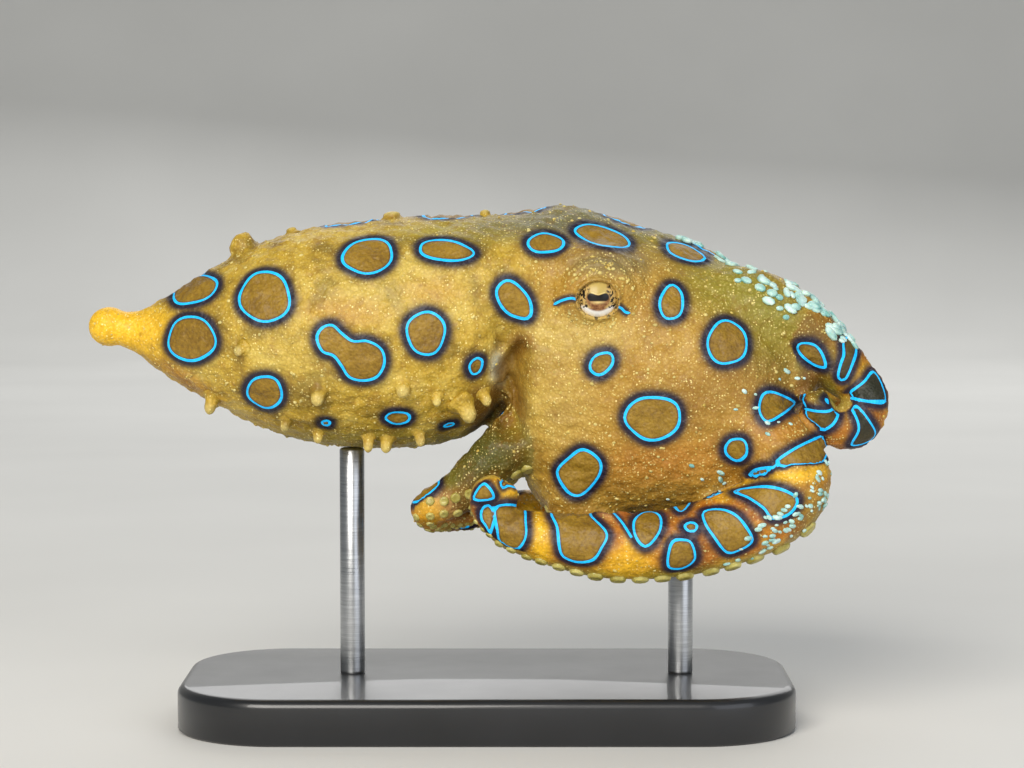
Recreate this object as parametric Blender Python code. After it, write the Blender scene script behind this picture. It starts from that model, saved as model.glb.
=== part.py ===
"""Blue-ringed octopus, life size, swimming, on a plain display stand.

Frame: +X from the tail of the mantle towards the arms, +Z up, the animal's right side at -Y.
The origin is the middle of the underside of the stand's base. Shapes are worked out in
millimetres and turned to metres where a mesh is made.
"""

import math

import bmesh
import bpy
import numpy as np
from mathutils import Vector

MM = 0.001

# Driving dimensions, in millimetres.
GAP = 0.3                   # between pieces that touch
STAND_LENGTH = 54.0
STAND_DEPTH = 28.0
STAND_THICK = 4.0
STAND_CORNER = 9.0
STAND_EDGE = 0.8
ROD_RADIUS = 1.1
REAR_ROD_X = -12.0
REAR_ROD_TOP = 24.2
FRONT_ROD_X = 17.2
FRONT_ROD_TOP = 21.4
RIGHT, LEFT = -1.0, 1.0
CREASE = 42.0               # degrees

# Stations of the mantle from the tail to the front edge: x, top z, bottom z, half width.
MANTLE = [
    (-34.2, 35.6, 34.2, 0.7),
    (-32.4, 36.2, 33.2, 1.6),
    (-30.8, 36.3, 32.4, 1.9),
    (-28.7, 37.3, 30.8, 3.2),
    (-25.0, 39.6, 28.6, 5.6),
    (-20.0, 42.2, 26.1, 7.9),
    (-15.5, 43.6, 24.7, 9.2),
    (-10.8, 44.2, 24.2, 9.9),
    (-5.9, 44.6, 24.3, 10.1),
    (-1.8, 44.7, 25.3, 9.8),
    (0.1, 44.8, 26.6, 9.3),
    (0.6, 44.5, 27.4, 8.6),
]
# Stations of the head and the crown of arm bases in front of it.
HEAD_AND_CROWN = [
    (0.9, 44.6, 30.0, 7.2),
    (2.3, 44.9, 27.4, 7.6),
    (3.1, 45.1, 22.6, 8.2),
    (4.6, 45.3, 19.4, 8.8),
    (7.0, 45.6, 18.2, 9.4),
    (10.0, 44.9, 17.8, 9.9),
    (14.4, 43.5, 17.7, 10.4),
    (18.8, 42.0, 18.0, 10.8),
    (22.4, 39.8, 20.0, 10.1),
    (25.2, 37.4, 23.4, 8.4),
    (27.2, 34.8, 26.8, 5.6),
    (28.0, 32.4, 29.6, 2.0),
]
# The cut that parts head from crown, seen from the side: x, z from the neck to the forehead.
HEAD_CUT = [(-3.0, 30.3), (5.0, 31.0), (12.8, 32.6), (14.6, 35.0), (15.4, 50.0)]

EYE = (9.5, 8.3, 37.9)      # x, distance from the middle plane, z
EYE_RADIUS = 2.1
MOUND = (9.4, 6.9, 38.3)
MOUND_RADII = (4.7, 3.3, 4.4)
LID = (1.35, 2.15, 0.5, 0.6)  # distance out from the eye's middle, ring radius, half sizes
PUPIL = (0.87, 0.4, 0.4)
MOUTH = (12.2, 22.35)       # x and z of the middle of the lips
BOWL = (13.2, 0.0, 17.4)    # middle of the hollow under the crown, round the mouth
BOWL_RADII = (8.0, 5.6, 5.4)
LOWER_FULLNESS = 0.65
ROOM_LEAD = 1.5             # how far the room cut for an arm starts before it, in half gaps
FUNNEL = ((2.5, 0.0, 28.6), (0.9, 0.0, 24.2))   # middle of its root and of its open end

# Papillae of the mantle: x, z, radius and length of those on each side, and x, radius and
# length of those along the back.
PAPILLAE = [
    (-24.0, 28.8, 0.50, 1.4), (-17.4, 26.9, 0.40, 0.9), (-14.6, 25.9, 0.40, 0.9),
    (-10.4, 25.5, 0.42, 1.3), (-8.8, 25.4, 0.47, 1.2), (-6.0, 25.9, 0.42, 1.2),
    (-14.4, 29.6, 0.55, 1.4), (-7.0, 30.3, 0.55, 1.3), (-1.9, 28.5, 0.68, 1.9),
    (-0.3, 29.4, 0.45, 1.1), (-20.9, 33.4, 0.42, 0.9), (-4.3, 29.3, 0.35, 0.8),
]
PAPILLA_HANG = 1.0           # how strongly a papilla is drawn downwards from the skin's normal
BACK_PAPILLAE = [(-17.2, 0.5, 0.7), (-8.4, 0.8, 0.9), (-0.3, 0.5, 0.9)]
TAIL_KNOB = ((-33.4, 0.0, 34.9), (1.85, 1.7, 1.75))
DORSAL_KNOB = (-21.5, 41.6, 1.25, 1.6)      # x, z of its middle, radius, half height

SIDES = 10                  # of an arm's cross section
SUCKER_SIDES = 6
SUCKER_PITCH = 1.0          # along a row, in arm radii
SUCKER_PITCH_LEAST = 1.1
SUCKER_SHARE = 0.23         # of the arm's radius
SUCKER_LEAST = 0.2
SUCKER_ROOM = 0.7
SUCKER_CLEAR = 1.5          # sucker radii kept free at each end of a length of arm
ORAL_FLAT = 0.84            # how far the sucker side reaches, against the other sides
ROW_ANGLE = math.radians(27)

SKIN = (0.62, 0.40, 0.09)
ARM_SKIN = (0.66, 0.38, 0.07)
PALE = (0.78, 0.70, 0.42)


def coil(middle, radius, shrink, start, sweep, drift, count=9):
    """Points of a flat spiral in a plane of constant y, with a slow drift in y.

    The point at turn angle a lies at middle + r(a) * (cos a, sin a) in x and z, where r falls
    evenly from radius to radius * shrink over the sweep. Angles are in degrees.
    """
    share = np.linspace(0.0, 1.0, count)
    angle = np.radians(start + sweep * share)
    reach = radius * (1.0 - (1.0 - shrink) * share)
    return np.column_stack([
        middle[0] + reach * np.cos(angle),
        middle[1] + drift * share,
        middle[2] + reach * np.sin(angle),
    ])


# Each arm of the right side: the way of its centre line up to its coil, as x, y, z; the coil;
# radii at shares of the whole length; the turn of the suckers about the line, in degrees at
# shares, from the outer side of a clockwise bend; the shares where it is parted; and the share
# up to which the crown leaves room for it.
ARMS = {
    "arm_1": {
        "way": [(15.0, -3.0, 35.8), (19.5, -3.9, 36.9), (23.8, -4.6, 36.4), (27.2, -5.1, 34.8)],
        "coil": ((30.5, -5.5, 28.8), 2.15, 0.92, 72, -275, -3.3, 11),
        "end": [],
        "radius": [(0, 2.4), (0.12, 3.8), (0.3, 3.5), (0.44, 2.8), (0.54, 2.55), (0.63, 2.5),
                   (0.69, 2.0), (0.76, 2.15), (0.83, 2.3), (0.88, 1.85), (0.92, 1.55),
                   (0.955, 1.6), (0.985, 1.3), (1, 0.6)],
        "turn": [(0, 165), (1, 180)],
        "cuts": (0.30, 0.41, 0.51),
        "room": 0.98,
    },
    "arm_2": {
        "way": [(15.5, -3.6, 30.2), (20.6, -6.1, 27.6), (25.0, -8.2, 24.9), (26.4, -9.3, 22.1),
                (24.6, -9.6, 19.5), (20.0, -10.1, 17.6), (15.0, -10.3, 16.6), (9.7, -10.3, 16.5),
                (5.2, -10.2, 17.2), (1.9, -10.0, 18.0)],
        "coil": ((0.75, -9.9, 20.35), 1.5, 0.9, 232, -132, -0.6, 6),
        "end": [(1.6, -10.8, 21.75)],
        "radius": [(0, 2.4), (0.1, 4.2), (0.24, 3.75), (0.45, 3.4), (0.6, 3.15), (0.68, 3.05),
                   (0.8, 2.3), (0.86, 1.8), (0.9, 1.2), (0.925, 0.9), (0.94, 0.95), (0.955, 1.25),
                   (0.97, 1.42), (0.985, 1.25), (0.995, 0.85), (1, 0.4)],
        "turn": [(0, 80), (0.12, 60), (0.26, 10), (1, 0)],
        "cuts": (0.24, 0.45, 0.66),
        "room": 0.66,
    },
    "arm_3": {
        "way": [(10.6, -3.6, 30.0), (8.4, -4.3, 26.4), (7.4, -4.6, 22.8), (8.2, -4.6, 19.0),
                (11.6, -4.5, 16.4)],
        "coil": ((15.4, -4.4, 17.8), 1.9, 0.42, -100, 300, 0.5, 10),
        "end": [],
        "radius": [(0, 2.2), (0.2, 3.2), (0.35, 3.1), (0.47, 2.6), (0.65, 1.9), (0.8, 1.2),
                   (1, 0.4)],
        "turn": [(0, 90), (0.35, 120), (0.5, 170), (1, 180)],
        "cuts": (0.38, 0.53, 0.68),
        "room": 0.98,
    },
    "arm_4": {
        "way": [(9.6, -2.9, 29.2), (5.8, -3.9, 27.2), (2.5, -4.7, 24.9), (-0.1, -4.8, 22.6),
                (-2.8, -4.8, 20.3)],
        "coil": ((-4.2, -4.8, 18.8), 1.0, 0.9, 145, 125, 2.3, 5),
        "end": [(-1.9, -2.1, 18.0), (0.3, -2.0, 18.5)],
        "radius": [(0, 2.2), (0.2, 3.1), (0.5, 2.3), (0.6, 1.9), (0.7, 1.6), (0.8, 1.15),
                   (1, 0.45)],
        "turn": [(0, 20), (0.45, 0), (0.6, -60), (0.75, -110), (1, -180)],
        "cuts": (0.24, 0.49),
        "room": 0.6,
    },
}
LEFT_SHIFT = {"arm_1": (-0.4, 0.0, -0.9), "arm_2": (-0.8, 0.0, -0.3),
              "arm_3": (0.0, 0.0, 0.0), "arm_4": (0.9, 0.0, -0.6)}
SEGMENTS = {3: ("base", "tip"), 4: ("base", "middle", "tip")}


def clear_scene():
    for obj in list(bpy.data.objects):
        bpy.data.objects.remove(obj)


def make_material(name, colour, roughness, metallic=0.0):
    made = bpy.data.materials.new(name)
    made.use_nodes = True
    shader = made.node_tree.nodes["Principled BSDF"]
    shader.inputs["Base Color"].default_value = (*colour, 1.0)
    shader.inputs["Roughness"].default_value = roughness
    shader.inputs["Metallic"].default_value = metallic
    made.diffuse_color = (*colour, 1.0)
    return made


def make_object(name, points, faces, look):
    """A mesh object from points in millimetres, with its normals made to face out."""
    mesh = bpy.data.meshes.new(name)
    mesh.from_pydata([Vector(p) * MM for p in points], [], faces)
    shaped = bmesh.new()
    shaped.from_mesh(mesh)
    bmesh.ops.recalc_face_normals(shaped, faces=shaped.faces)
    shaped.to_mesh(mesh)
    shaped.free()
    mesh.materials.append(look)
    obj = bpy.data.objects.new(name, mesh)
    bpy.context.scene.collection.objects.link(obj)
    return obj


def smooth_line(points, values):
    """Catmull-Rom curve through points, read at values, which count the points from 0."""
    points = np.asarray(points, float)
    ends = np.vstack([2 * points[0] - points[1], points, 2 * points[-1] - points[-2]])
    at = np.clip(values, 0, len(points) - 1)
    first = np.minimum(at.astype(int), len(points) - 2)
    t = (at - first)[:, None]
    a, b, c, d = (ends[first + k] for k in range(4))
    return 0.5 * (2 * b + (c - a) * t + (2 * a - 5 * b + 4 * c - d) * t**2
                  + (3 * b - a - 3 * c + d) * t**3)


def rings_to_faces(rings, sides, tip_to_tip=False):
    """Quads between neighbouring rings, and a fan or a flat face at each end."""
    faces = []
    for ring in range(rings - 1):
        for k in range(sides):
            a = ring * sides + k
            b = ring * sides + (k + 1) % sides
            faces.append((a, b, b + sides, a + sides))
    last = (rings - 1) * sides
    if tip_to_tip:
        first_tip, last_tip = rings * sides, rings * sides + 1
        for k in range(sides):
            following = (k + 1) % sides
            faces.append((following, k, first_tip))
            faces.append((last + k, last + following, last_tip))
    else:
        faces.append(tuple(reversed(range(sides))))
        faces.append(tuple(range(last, last + sides)))
    return faces


def loft(name, stations, sides, rings, look, fullness=1.0):
    """A body whose cross sections are ellipses, through the stations along x.

    A fullness below 1 makes the lower half wider: its width is raised to that power.
    """
    stations = np.asarray(stations, float)
    changes = np.abs(np.diff(stations, axis=0))
    spans = changes[:, 0] + 0.35 * changes[:, 1:].max(axis=1)
    along = np.concatenate([[0], np.cumsum(spans)])
    wanted = np.linspace(0, along[-1], rings)
    read = smooth_line(stations, np.interp(wanted, along, np.arange(len(stations))))
    angle = (np.arange(sides) + 0.5) * 2 * math.pi / sides
    x, top, bottom, half = (read[:, k][:, None] for k in range(4))
    wide = np.abs(np.sin(angle)) ** np.where(np.cos(angle) < 0, fullness, 1.0)
    points = np.stack([
        np.broadcast_to(x, (rings, sides)),
        half * wide * np.sign(np.sin(angle)),
        (top + bottom) / 2 + (top - bottom) / 2 * np.cos(angle),
    ], axis=2).reshape(-1, 3)
    return make_object(name, points, rings_to_faces(rings, sides), look)


def ellipsoid(name, middle, radii, look, sides=14, rings=9):
    """An ellipsoid, as rings about the z axis between two poles."""
    turn = np.linspace(0, 2 * math.pi, sides, endpoint=False)
    tilt = np.linspace(0, math.pi, rings + 2)[1:-1][:, None]
    points = np.stack([
        np.sin(tilt) * np.cos(turn),
        np.sin(tilt) * np.sin(turn),
        np.broadcast_to(np.cos(tilt), (rings, sides)),
    ], axis=2).reshape(-1, 3)
    points = np.vstack([points, [[0, 0, 1], [0, 0, -1]]]) * radii + middle
    return make_object(name, points, rings_to_faces(rings, sides, tip_to_tip=True), look)


def unit(vectors):
    return vectors / np.linalg.norm(vectors, axis=-1, keepdims=True)


def knob(name, root, direction, radius, length, look, sides=5):
    """A blunt papilla: a short turned shape that stands on root and leans along direction."""
    along = unit(np.asarray(direction, float))
    across = unit(np.cross(along, (0.3, 1.0, 0.1)))
    third = np.cross(along, across)
    turn = np.linspace(0, 2 * math.pi, sides, endpoint=False)
    profile = [(-0.9, 1.25), (0.15, 1.05), (0.7, 0.72)]
    rings = [
        root + along * (length * reach)
        + radius * wide * (np.cos(turn)[:, None] * across + np.sin(turn)[:, None] * third)
        for reach, wide in profile
    ]
    ends = [root - along * length * 0.9, root + along * length]
    return make_object(name, np.vstack(rings + [ends]),
                       rings_to_faces(len(profile), sides, tip_to_tip=True), look)


def replace_mesh(obj):
    """Applies the object's modifiers."""
    graph = bpy.context.evaluated_depsgraph_get()
    made = bpy.data.meshes.new_from_object(obj.evaluated_get(graph))
    obj.modifiers.clear()
    obj.data = made


def combine(obj, pieces, operation="UNION"):
    """One Boolean of obj with all pieces, which are then removed."""
    if not pieces:
        return obj
    group = bpy.data.collections.new(obj.name + "_pieces")
    for piece in pieces:
        group.objects.link(piece)
    modifier = obj.modifiers.new(operation.lower(), "BOOLEAN")
    modifier.operation = operation
    modifier.operand_type = "COLLECTION"
    modifier.collection = group
    modifier.solver = "MANIFOLD"
    modifier.material_mode = "TRANSFER"
    replace_mesh(obj)
    for piece in pieces:
        bpy.data.objects.remove(piece)
    bpy.data.collections.remove(group)
    return obj


def islands(shaped):
    """The closed surfaces of a bmesh, as lists of faces, the largest by volume first."""
    left, found = set(shaped.faces), []
    while left:
        todo = [left.pop()]
        island = list(todo)
        while todo:
            for edge in todo.pop().edges:
                for face in edge.link_faces:
                    if face in left:
                        left.discard(face)
                        todo.append(face)
                        island.append(face)
        found.append(island)

    def volume(island):
        total = 0.0
        for face in island:
            corners = [v.co for v in face.verts]
            for b, c in zip(corners[1:], corners[2:]):
                total += corners[0].dot(b.cross(c))
        return abs(total)

    return sorted(found, key=volume, reverse=True)


def keep_surface(obj, rank=0):
    """Keeps one closed surface of obj: the largest, or the one of that rank."""
    shaped = bmesh.new()
    shaped.from_mesh(obj.data)
    kept = set(islands(shaped)[rank])
    bmesh.ops.delete(shaped, geom=[f for f in shaped.faces if f not in kept], context="FACES")
    loose = [v for v in shaped.verts if not v.link_faces]
    bmesh.ops.delete(shaped, geom=loose, context="VERTS")
    shaped.to_mesh(obj.data)
    shaped.free()
    return obj


def turned(line, arm_turn, shares):
    """Frames along a line: tangent, bend, and the sucker side turned by the arm's table."""
    tangent = unit(np.gradient(line, axis=0))
    step = np.linalg.norm(np.gradient(line, axis=0), axis=1, keepdims=True)
    bend = np.gradient(tangent, axis=0) / step
    outer = unit(np.column_stack([-tangent[:, 2], np.zeros(len(line)), tangent[:, 0]]))
    angle = np.radians(np.interp(shares, *zip(*arm_turn)))[:, None]
    oral = np.cos(angle) * outer + np.sin(angle) * np.array([0.0, 1.0, 0.0])
    oral = unit(oral - (oral * tangent).sum(axis=1, keepdims=True) * tangent)
    return tangent, bend, oral


def arm_line(arm, count=400):
    """The arm's centre line at even steps, with its length, radius and frames at each."""
    points = np.vstack([arm["way"], coil(*arm["coil"]), *[[p] for p in arm["end"]]])
    rough = smooth_line(points, np.linspace(0, len(points) - 1, 4 * count))
    steps = np.concatenate([[0], np.cumsum(np.linalg.norm(np.diff(rough, axis=0), axis=1))])
    shares = np.linspace(0, 1, count)
    line = np.column_stack([np.interp(shares * steps[-1], steps, rough[:, k]) for k in range(3)])
    smooth = np.ones(9) / 9
    padded = np.vstack([2 * line[0] - line[4:0:-1], line, 2 * line[-1] - line[-2:-6:-1]])
    line = np.column_stack([np.convolve(padded[:, k], smooth, mode="valid") for k in range(3)])
    radius = np.interp(shares, *zip(*arm["radius"]))
    tangent, bend, oral = turned(line, arm["turn"], shares)
    return {"shares": shares, "length": steps[-1], "line": line, "radius": radius,
            "tangent": tangent, "bend": bend, "oral": oral}


def read_at(run, key, shares):
    value = run[key]
    if value.ndim == 1:
        return np.interp(shares, run["shares"], value)
    return np.column_stack([np.interp(shares, run["shares"], value[:, k]) for k in range(3)])


def mirrored(run, side, shift):
    """The run moved by shift and, on the left side, mirrored in the middle plane."""
    flip = np.array([1.0, -side, 1.0])
    made = dict(run)
    made["line"] = (run["line"] + np.array(shift)) * flip
    for key in ("tangent", "bend", "oral"):
        made[key] = run[key] * flip
    return made


def ring_shares(run, first, last):
    """Shares from first to last, closer together where the arm is thinner."""
    fine = np.linspace(first, last, 200)
    pace = 1.0 / np.maximum(read_at(run, "radius", fine) * 0.62, 0.55)
    total = np.concatenate([[0], np.cumsum((pace[1:] + pace[:-1]) / 2 * np.diff(fine))])
    count = max(3, math.ceil(total[-1] * run["length"]) + 1)
    return np.interp(np.linspace(0, total[-1], count), total, fine)


def section_reach(run, shares, angle):
    """How far the skin stands from the centre line at an angle from the back of the arm.

    It is the radius, a little less on the sucker side, and never so far into the inside of a
    bend that neighbouring cross sections would meet.
    """
    oral, tangent = read_at(run, "oral", shares), read_at(run, "tangent", shares)
    oral, tangent = unit(oral), unit(tangent)
    side = np.cross(tangent, oral)
    way = -np.cos(angle)[None, :, None] * oral[:, None] + np.sin(angle)[None, :, None] * side[:, None]
    flat = 1.0 - (1.0 - ORAL_FLAT) * np.clip(-np.cos(angle), 0, 1)[None, :]
    reach = read_at(run, "radius", shares)[:, None] * flat
    into_bend = (way * read_at(run, "bend", shares)[:, None]).sum(axis=2)
    return way, np.minimum(reach, 0.86 / np.maximum(into_bend, 1e-6))


def arm_tube(name, run, first, last, look, grow=0.0):
    """The arm's skin between two shares of its length, closed at both ends."""
    shares = ring_shares(run, first, last)
    angle = np.linspace(0, 2 * math.pi, SIDES, endpoint=False)
    way, reach = section_reach(run, shares, angle)
    middle = read_at(run, "line", shares)
    if grow:
        reach = reach + grow + SUCKER_ROOM * np.clip(-np.cos(angle), 0, 1)
    points = middle[:, None] + way * reach[:, :, None]
    return make_object(name, points.reshape(-1, 3), rings_to_faces(len(shares), SIDES), look)


def sucker(name, root, direction, radius, look):
    """A low cup: a six-sided ring that widens to its rim, round a dimple."""
    across = unit(np.cross(direction, (0.2, 0.9, 0.4)))
    third = np.cross(direction, across)
    turn = np.linspace(0, 2 * math.pi, SUCKER_SIDES, endpoint=False)
    circle = np.cos(turn)[:, None] * across + np.sin(turn)[:, None] * third
    rings = [root + direction * radius * high + radius * wide * circle
             for high, wide in ((-1.1, 0.8), (0.7, 1.0))]
    ends = [root - direction * radius * 1.1, root + direction * radius * 0.25]
    return make_object(name, np.vstack(rings + [ends]),
                       rings_to_faces(2, SUCKER_SIDES, tip_to_tip=True), look)


def suckers_between(run, first, last, look):
    """Two rows of suckers along the arm, set apart by a pitch that shrinks with its radius."""
    found, share, row = [], 0.10, 0
    while share < 0.985:
        radius = float(read_at(run, "radius", share))
        size = max(SUCKER_SHARE * radius, SUCKER_LEAST)
        clear = SUCKER_CLEAR * size / run["length"]
        if first + clear < share < last - clear:
            angle = np.array([math.pi + (ROW_ANGLE if row % 2 else -ROW_ANGLE)])
            way, reach = section_reach(run, np.array([share]), angle)
            root = read_at(run, "line", np.array([share]))[0] + way[0, 0] * reach[0, 0]
            found.append(sucker(f"sucker_{row}", root, way[0, 0], size, look))
        share += max(SUCKER_PITCH * radius, SUCKER_PITCH_LEAST) / 2 / run["length"]
        row += 1
    return found


def make_arms(crown, looks):
    """Eight arms, each in two or three lengths. Their roots are fused with the crown.

    Returns thickened copies of the arms, which clear the room that each arm needs.
    """
    roots, clearance = [], []
    for side, side_name in ((RIGHT, "right"), (LEFT, "left")):
        for arm_name, arm in ARMS.items():
            shift = LEFT_SHIFT[arm_name] if side == LEFT else (0.0, 0.0, 0.0)
            run = mirrored(arm_line(arm), side, shift)
            half = GAP / 2 / run["length"]
            root_end = arm["cuts"][0]
            roots.append(arm_tube("root", run, 0.0, root_end - half, looks["arm"]))
            room_start = root_end - half * ROOM_LEAD
            clearance.append(arm_tube("room", run, room_start, arm["room"], looks["arm"], GAP))
            ends = (*arm["cuts"], 1.0)
            for segment, first, last in zip(SEGMENTS[len(ends)], ends, ends[1:]):
                name = f"{arm_name}_{side_name}_{segment}"
                first, last = first + half, last - (half if last < 1 else 0.002)
                tube = arm_tube(name, run, first, last, looks["arm"])
                combine(tube, suckers_between(run, first, last, looks["sucker"]))
                keep_surface(tube)
    combine(crown, roots)
    return clearance


def make_mantle(looks):
    """The mantle sac with its tail knob, and the papillae on its skin."""
    mantle = loft("mantle", MANTLE, 24, 26, looks["skin"])
    centre = np.array([s[:3] for s in MANTLE])
    pieces = []
    for x, z, radius, length in PAPILLAE:
        top, bottom, half = (np.interp(x, centre[:, 0], column)
                             for column in np.array(MANTLE)[:, 1:].T)
        middle, high = (top + bottom) / 2, (top - bottom) / 2
        lift = np.clip((z - middle) / high, -0.985, 0.985)
        for side in (RIGHT, LEFT):
            root = np.array([x, side * half * math.sqrt(1 - lift**2), middle + high * lift])
            out = unit(np.array([0.0, side * math.sqrt(1 - lift**2) / half, lift / high]))
            way = out - (0.0, 0.0, PAPILLA_HANG)
            pieces.append(knob("papilla", root, way, radius, length, looks["pale"]))
    for x, radius, length in BACK_PAPILLAE:
        top = np.interp(x, centre[:, 0], centre[:, 1])
        pieces.append(knob("papilla", np.array([x, 0.0, top]), (0, 0, 1), radius, length,
                           looks["skin"]))
    x, z, radius, half = DORSAL_KNOB
    pieces.append(ellipsoid("knob", (x, 0.0, z), (radius, radius, half), looks["skin"], 10, 6))
    pieces.append(ellipsoid("tail_knob", *TAIL_KNOB, looks["skin"], 12, 7))
    combine(mantle, pieces)
    return keep_surface(mantle)


def make_eye(side, name, looks):
    """An eyeball with a slit pupil raised on it, in the socket of its mound."""
    x, out, z = EYE
    eye = ellipsoid(name, (x, side * out, z), (EYE_RADIUS,) * 3, looks["eye"], 14, 9)
    slit = ellipsoid("pupil", (x, side * (out + EYE_RADIUS - 0.25), z), PUPIL,
                     looks["dark"], 10, 5)
    combine(eye, [slit])
    return keep_surface(eye)


def lid_ring(side, looks, around=15, across=6):
    """The rim of both lids: a ring round the line of sight, as thick as a lid fold."""
    x, out, z = EYE
    lift, radius, wide, deep = LID
    turn = np.linspace(0, 2 * math.pi, around, endpoint=False)[:, None]
    tube = np.linspace(0, 2 * math.pi, across, endpoint=False)
    reach = radius + wide * np.cos(tube)
    points = np.stack([
        x + 1.08 * reach * np.cos(turn),
        np.broadcast_to(side * (out + lift + deep * np.sin(tube)), (around, across)),
        z + 0.94 * reach * np.sin(turn),
    ], axis=2).reshape(-1, 3)
    faces = []
    for i in range(around):
        for j in range(across):
            a, b = i * across, (i + 1) % around * across
            faces.append((a + j, b + j, b + (j + 1) % across, a + (j + 1) % across))
    return make_object("lids", points, faces, looks["skin"])


def make_head_and_crown(looks):
    """Head and crown modelled whole, then parted by one thin cut."""
    whole = loft("crown", HEAD_AND_CROWN, 28, 26, looks["skin"], LOWER_FULLNESS)
    mounds = []
    for side in (RIGHT, LEFT):
        x, out, z = MOUND
        mounds.append(ellipsoid("mound", (x, side * out, z), MOUND_RADII, looks["skin"]))
        mounds.append(lid_ring(side, looks))
    combine(whole, mounds)
    room = make_arms(whole, looks)
    for side in (RIGHT, LEFT):
        x, out, z = EYE
        room.append(ellipsoid("socket", (x, side * out, z), (EYE_RADIUS + GAP,) * 3,
                              looks["skin"], 15, 9))
    room.append(ellipsoid("bowl", BOWL, BOWL_RADII, looks["skin"], 15, 8))
    room.append(make_funnel(looks, "funnel_room", GAP))
    room.append(head_cutter(looks))
    for cutter in room:
        combine(whole, [cutter], "DIFFERENCE")
    head = whole.copy()
    head.data = whole.data.copy()
    head.name = "head"
    bpy.context.scene.collection.objects.link(head)
    keep_surface(whole, 0)
    keep_surface(head, 1)
    combine(bpy.data.objects["mantle"], [make_funnel(looks, "funnel_room", GAP)], "DIFFERENCE")


def head_cutter(looks):
    """A thin bent slab along the line that parts the head from the crown."""
    line = np.array(HEAD_CUT)
    along = unit(np.gradient(line, axis=0))
    across = np.column_stack([-along[:, 1], along[:, 0]]) * GAP / 2
    outline = np.vstack([line + across, (line - across)[::-1]])
    count, wide = len(outline), 20.0
    points = [(x, y, z) for y in (-wide, wide) for x, z in outline]
    faces = [tuple(range(count)), tuple(reversed(range(count, 2 * count)))]
    faces += [(k, k + count, (k + 1) % count + count, (k + 1) % count) for k in range(count)]
    return make_object("head_cutter", points, faces, looks["skin"])


def make_funnel(looks, name="funnel", grow=0.0):
    """The funnel: a short tapered tube under the neck, with an open mouth."""
    start, end = np.array(FUNNEL[0]), np.array(FUNNEL[1])
    profile = [(0.0, 1.7), (0.35, 1.6), (0.75, 1.3), (1.0, 1.2), (0.97, 0.9), (0.6, 0.7)]
    along = unit(end - start)
    if grow:
        profile = [(-0.1, 1.7), (0.35, 1.6), (0.75, 1.3), (1.1, 1.2)]
    length = np.linalg.norm(end - start)
    across = np.array([0.0, 1.0, 0.0])
    third = np.cross(along, across)
    sides = 12
    turn = np.linspace(0, 2 * math.pi, sides, endpoint=False)
    circle = np.cos(turn)[:, None] * across + np.sin(turn)[:, None] * third
    points = np.vstack([start + along * length * share + (radius + grow) * circle
                        for share, radius in profile])
    return make_object(name, points, rings_to_faces(len(profile), sides), looks["skin"])


def make_mouth(looks):
    """The lips: a low ring with a pit in the middle, under the hollow of the crown."""
    x, top = MOUTH
    profile = [(0.0, 1.3), (-0.5, 1.6), (-1.1, 1.35), (-1.2, 0.8), (-0.8, 0.45)]
    sides = 12
    turn = np.linspace(0, 2 * math.pi, sides, endpoint=False)
    points = np.vstack([np.column_stack([x + radius * np.cos(turn), radius * np.sin(turn),
                                         np.full(sides, top + down)])
                        for down, radius in profile])
    return make_object("mouth", points, rings_to_faces(len(profile), sides), looks["sucker"])


def make_stand(looks):
    """A base with rounded corners and two rods, each ending just under the animal."""
    half_x, half_y = STAND_LENGTH / 2 - STAND_CORNER, STAND_DEPTH / 2 - STAND_CORNER
    steps = 7
    outline = []
    for quarter, (sx, sy) in enumerate(((1, 1), (-1, 1), (-1, -1), (1, -1))):
        for k in range(steps):
            angle = math.radians(90 * quarter + 90 * k / (steps - 1))
            outline.append((sx * half_x, sy * half_y, math.cos(angle), math.sin(angle)))
    rings = []
    for z, inset in ((0, 0), (STAND_THICK - STAND_EDGE, 0), (STAND_THICK, STAND_EDGE)):
        reach = STAND_CORNER - inset
        rings += [(x + reach * c, y + reach * s, z) for x, y, c, s in outline]
    make_object("stand_base", rings, rings_to_faces(3, len(outline)), looks["base"])


def make_rod(name, x, top, looks, sides=16):
    turn = np.linspace(0, 2 * math.pi, sides, endpoint=False)
    points = [(x + ROD_RADIUS * math.cos(a), ROD_RADIUS * math.sin(a), z)
              for z in (STAND_THICK + GAP, top) for a in turn]
    return make_object(name, points, rings_to_faces(2, sides), looks["rod"])


def shade(obj):
    """Smooth shading, with edges sharper than the crease angle left sharp."""
    mesh = obj.data
    mesh.polygons.foreach_set("use_smooth", [True] * len(mesh.polygons))
    mesh.set_sharp_from_angle(angle=math.radians(CREASE))


def main():
    clear_scene()
    looks = {
        "skin": make_material("mantle_skin", SKIN, 0.45),
        "arm": make_material("arm_skin", ARM_SKIN, 0.45),
        "pale": make_material("papilla_skin", PALE, 0.5),
        "sucker": make_material("sucker_flesh", PALE, 0.4),
        "eye": make_material("eye_iris", (0.72, 0.55, 0.32), 0.2),
        "dark": make_material("pupil", (0.02, 0.01, 0.01), 0.1),
        "base": make_material("stand_lacquer", (0.05, 0.05, 0.055), 0.35),
        "rod": make_material("stand_steel", (0.6, 0.6, 0.62), 0.3, 1.0),
    }
    make_mantle(looks)
    make_head_and_crown(looks)
    make_funnel(looks)
    make_mouth(looks)
    for side, name in ((RIGHT, "eye_right"), (LEFT, "eye_left")):
        make_eye(side, name, looks)
    make_stand(looks)
    make_rod("stand_rod_rear", REAR_ROD_X, REAR_ROD_TOP, looks)
    make_rod("stand_rod_front", FRONT_ROD_X, FRONT_ROD_TOP, looks)
    for obj in bpy.data.objects:
        shade(obj)


main()
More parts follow.
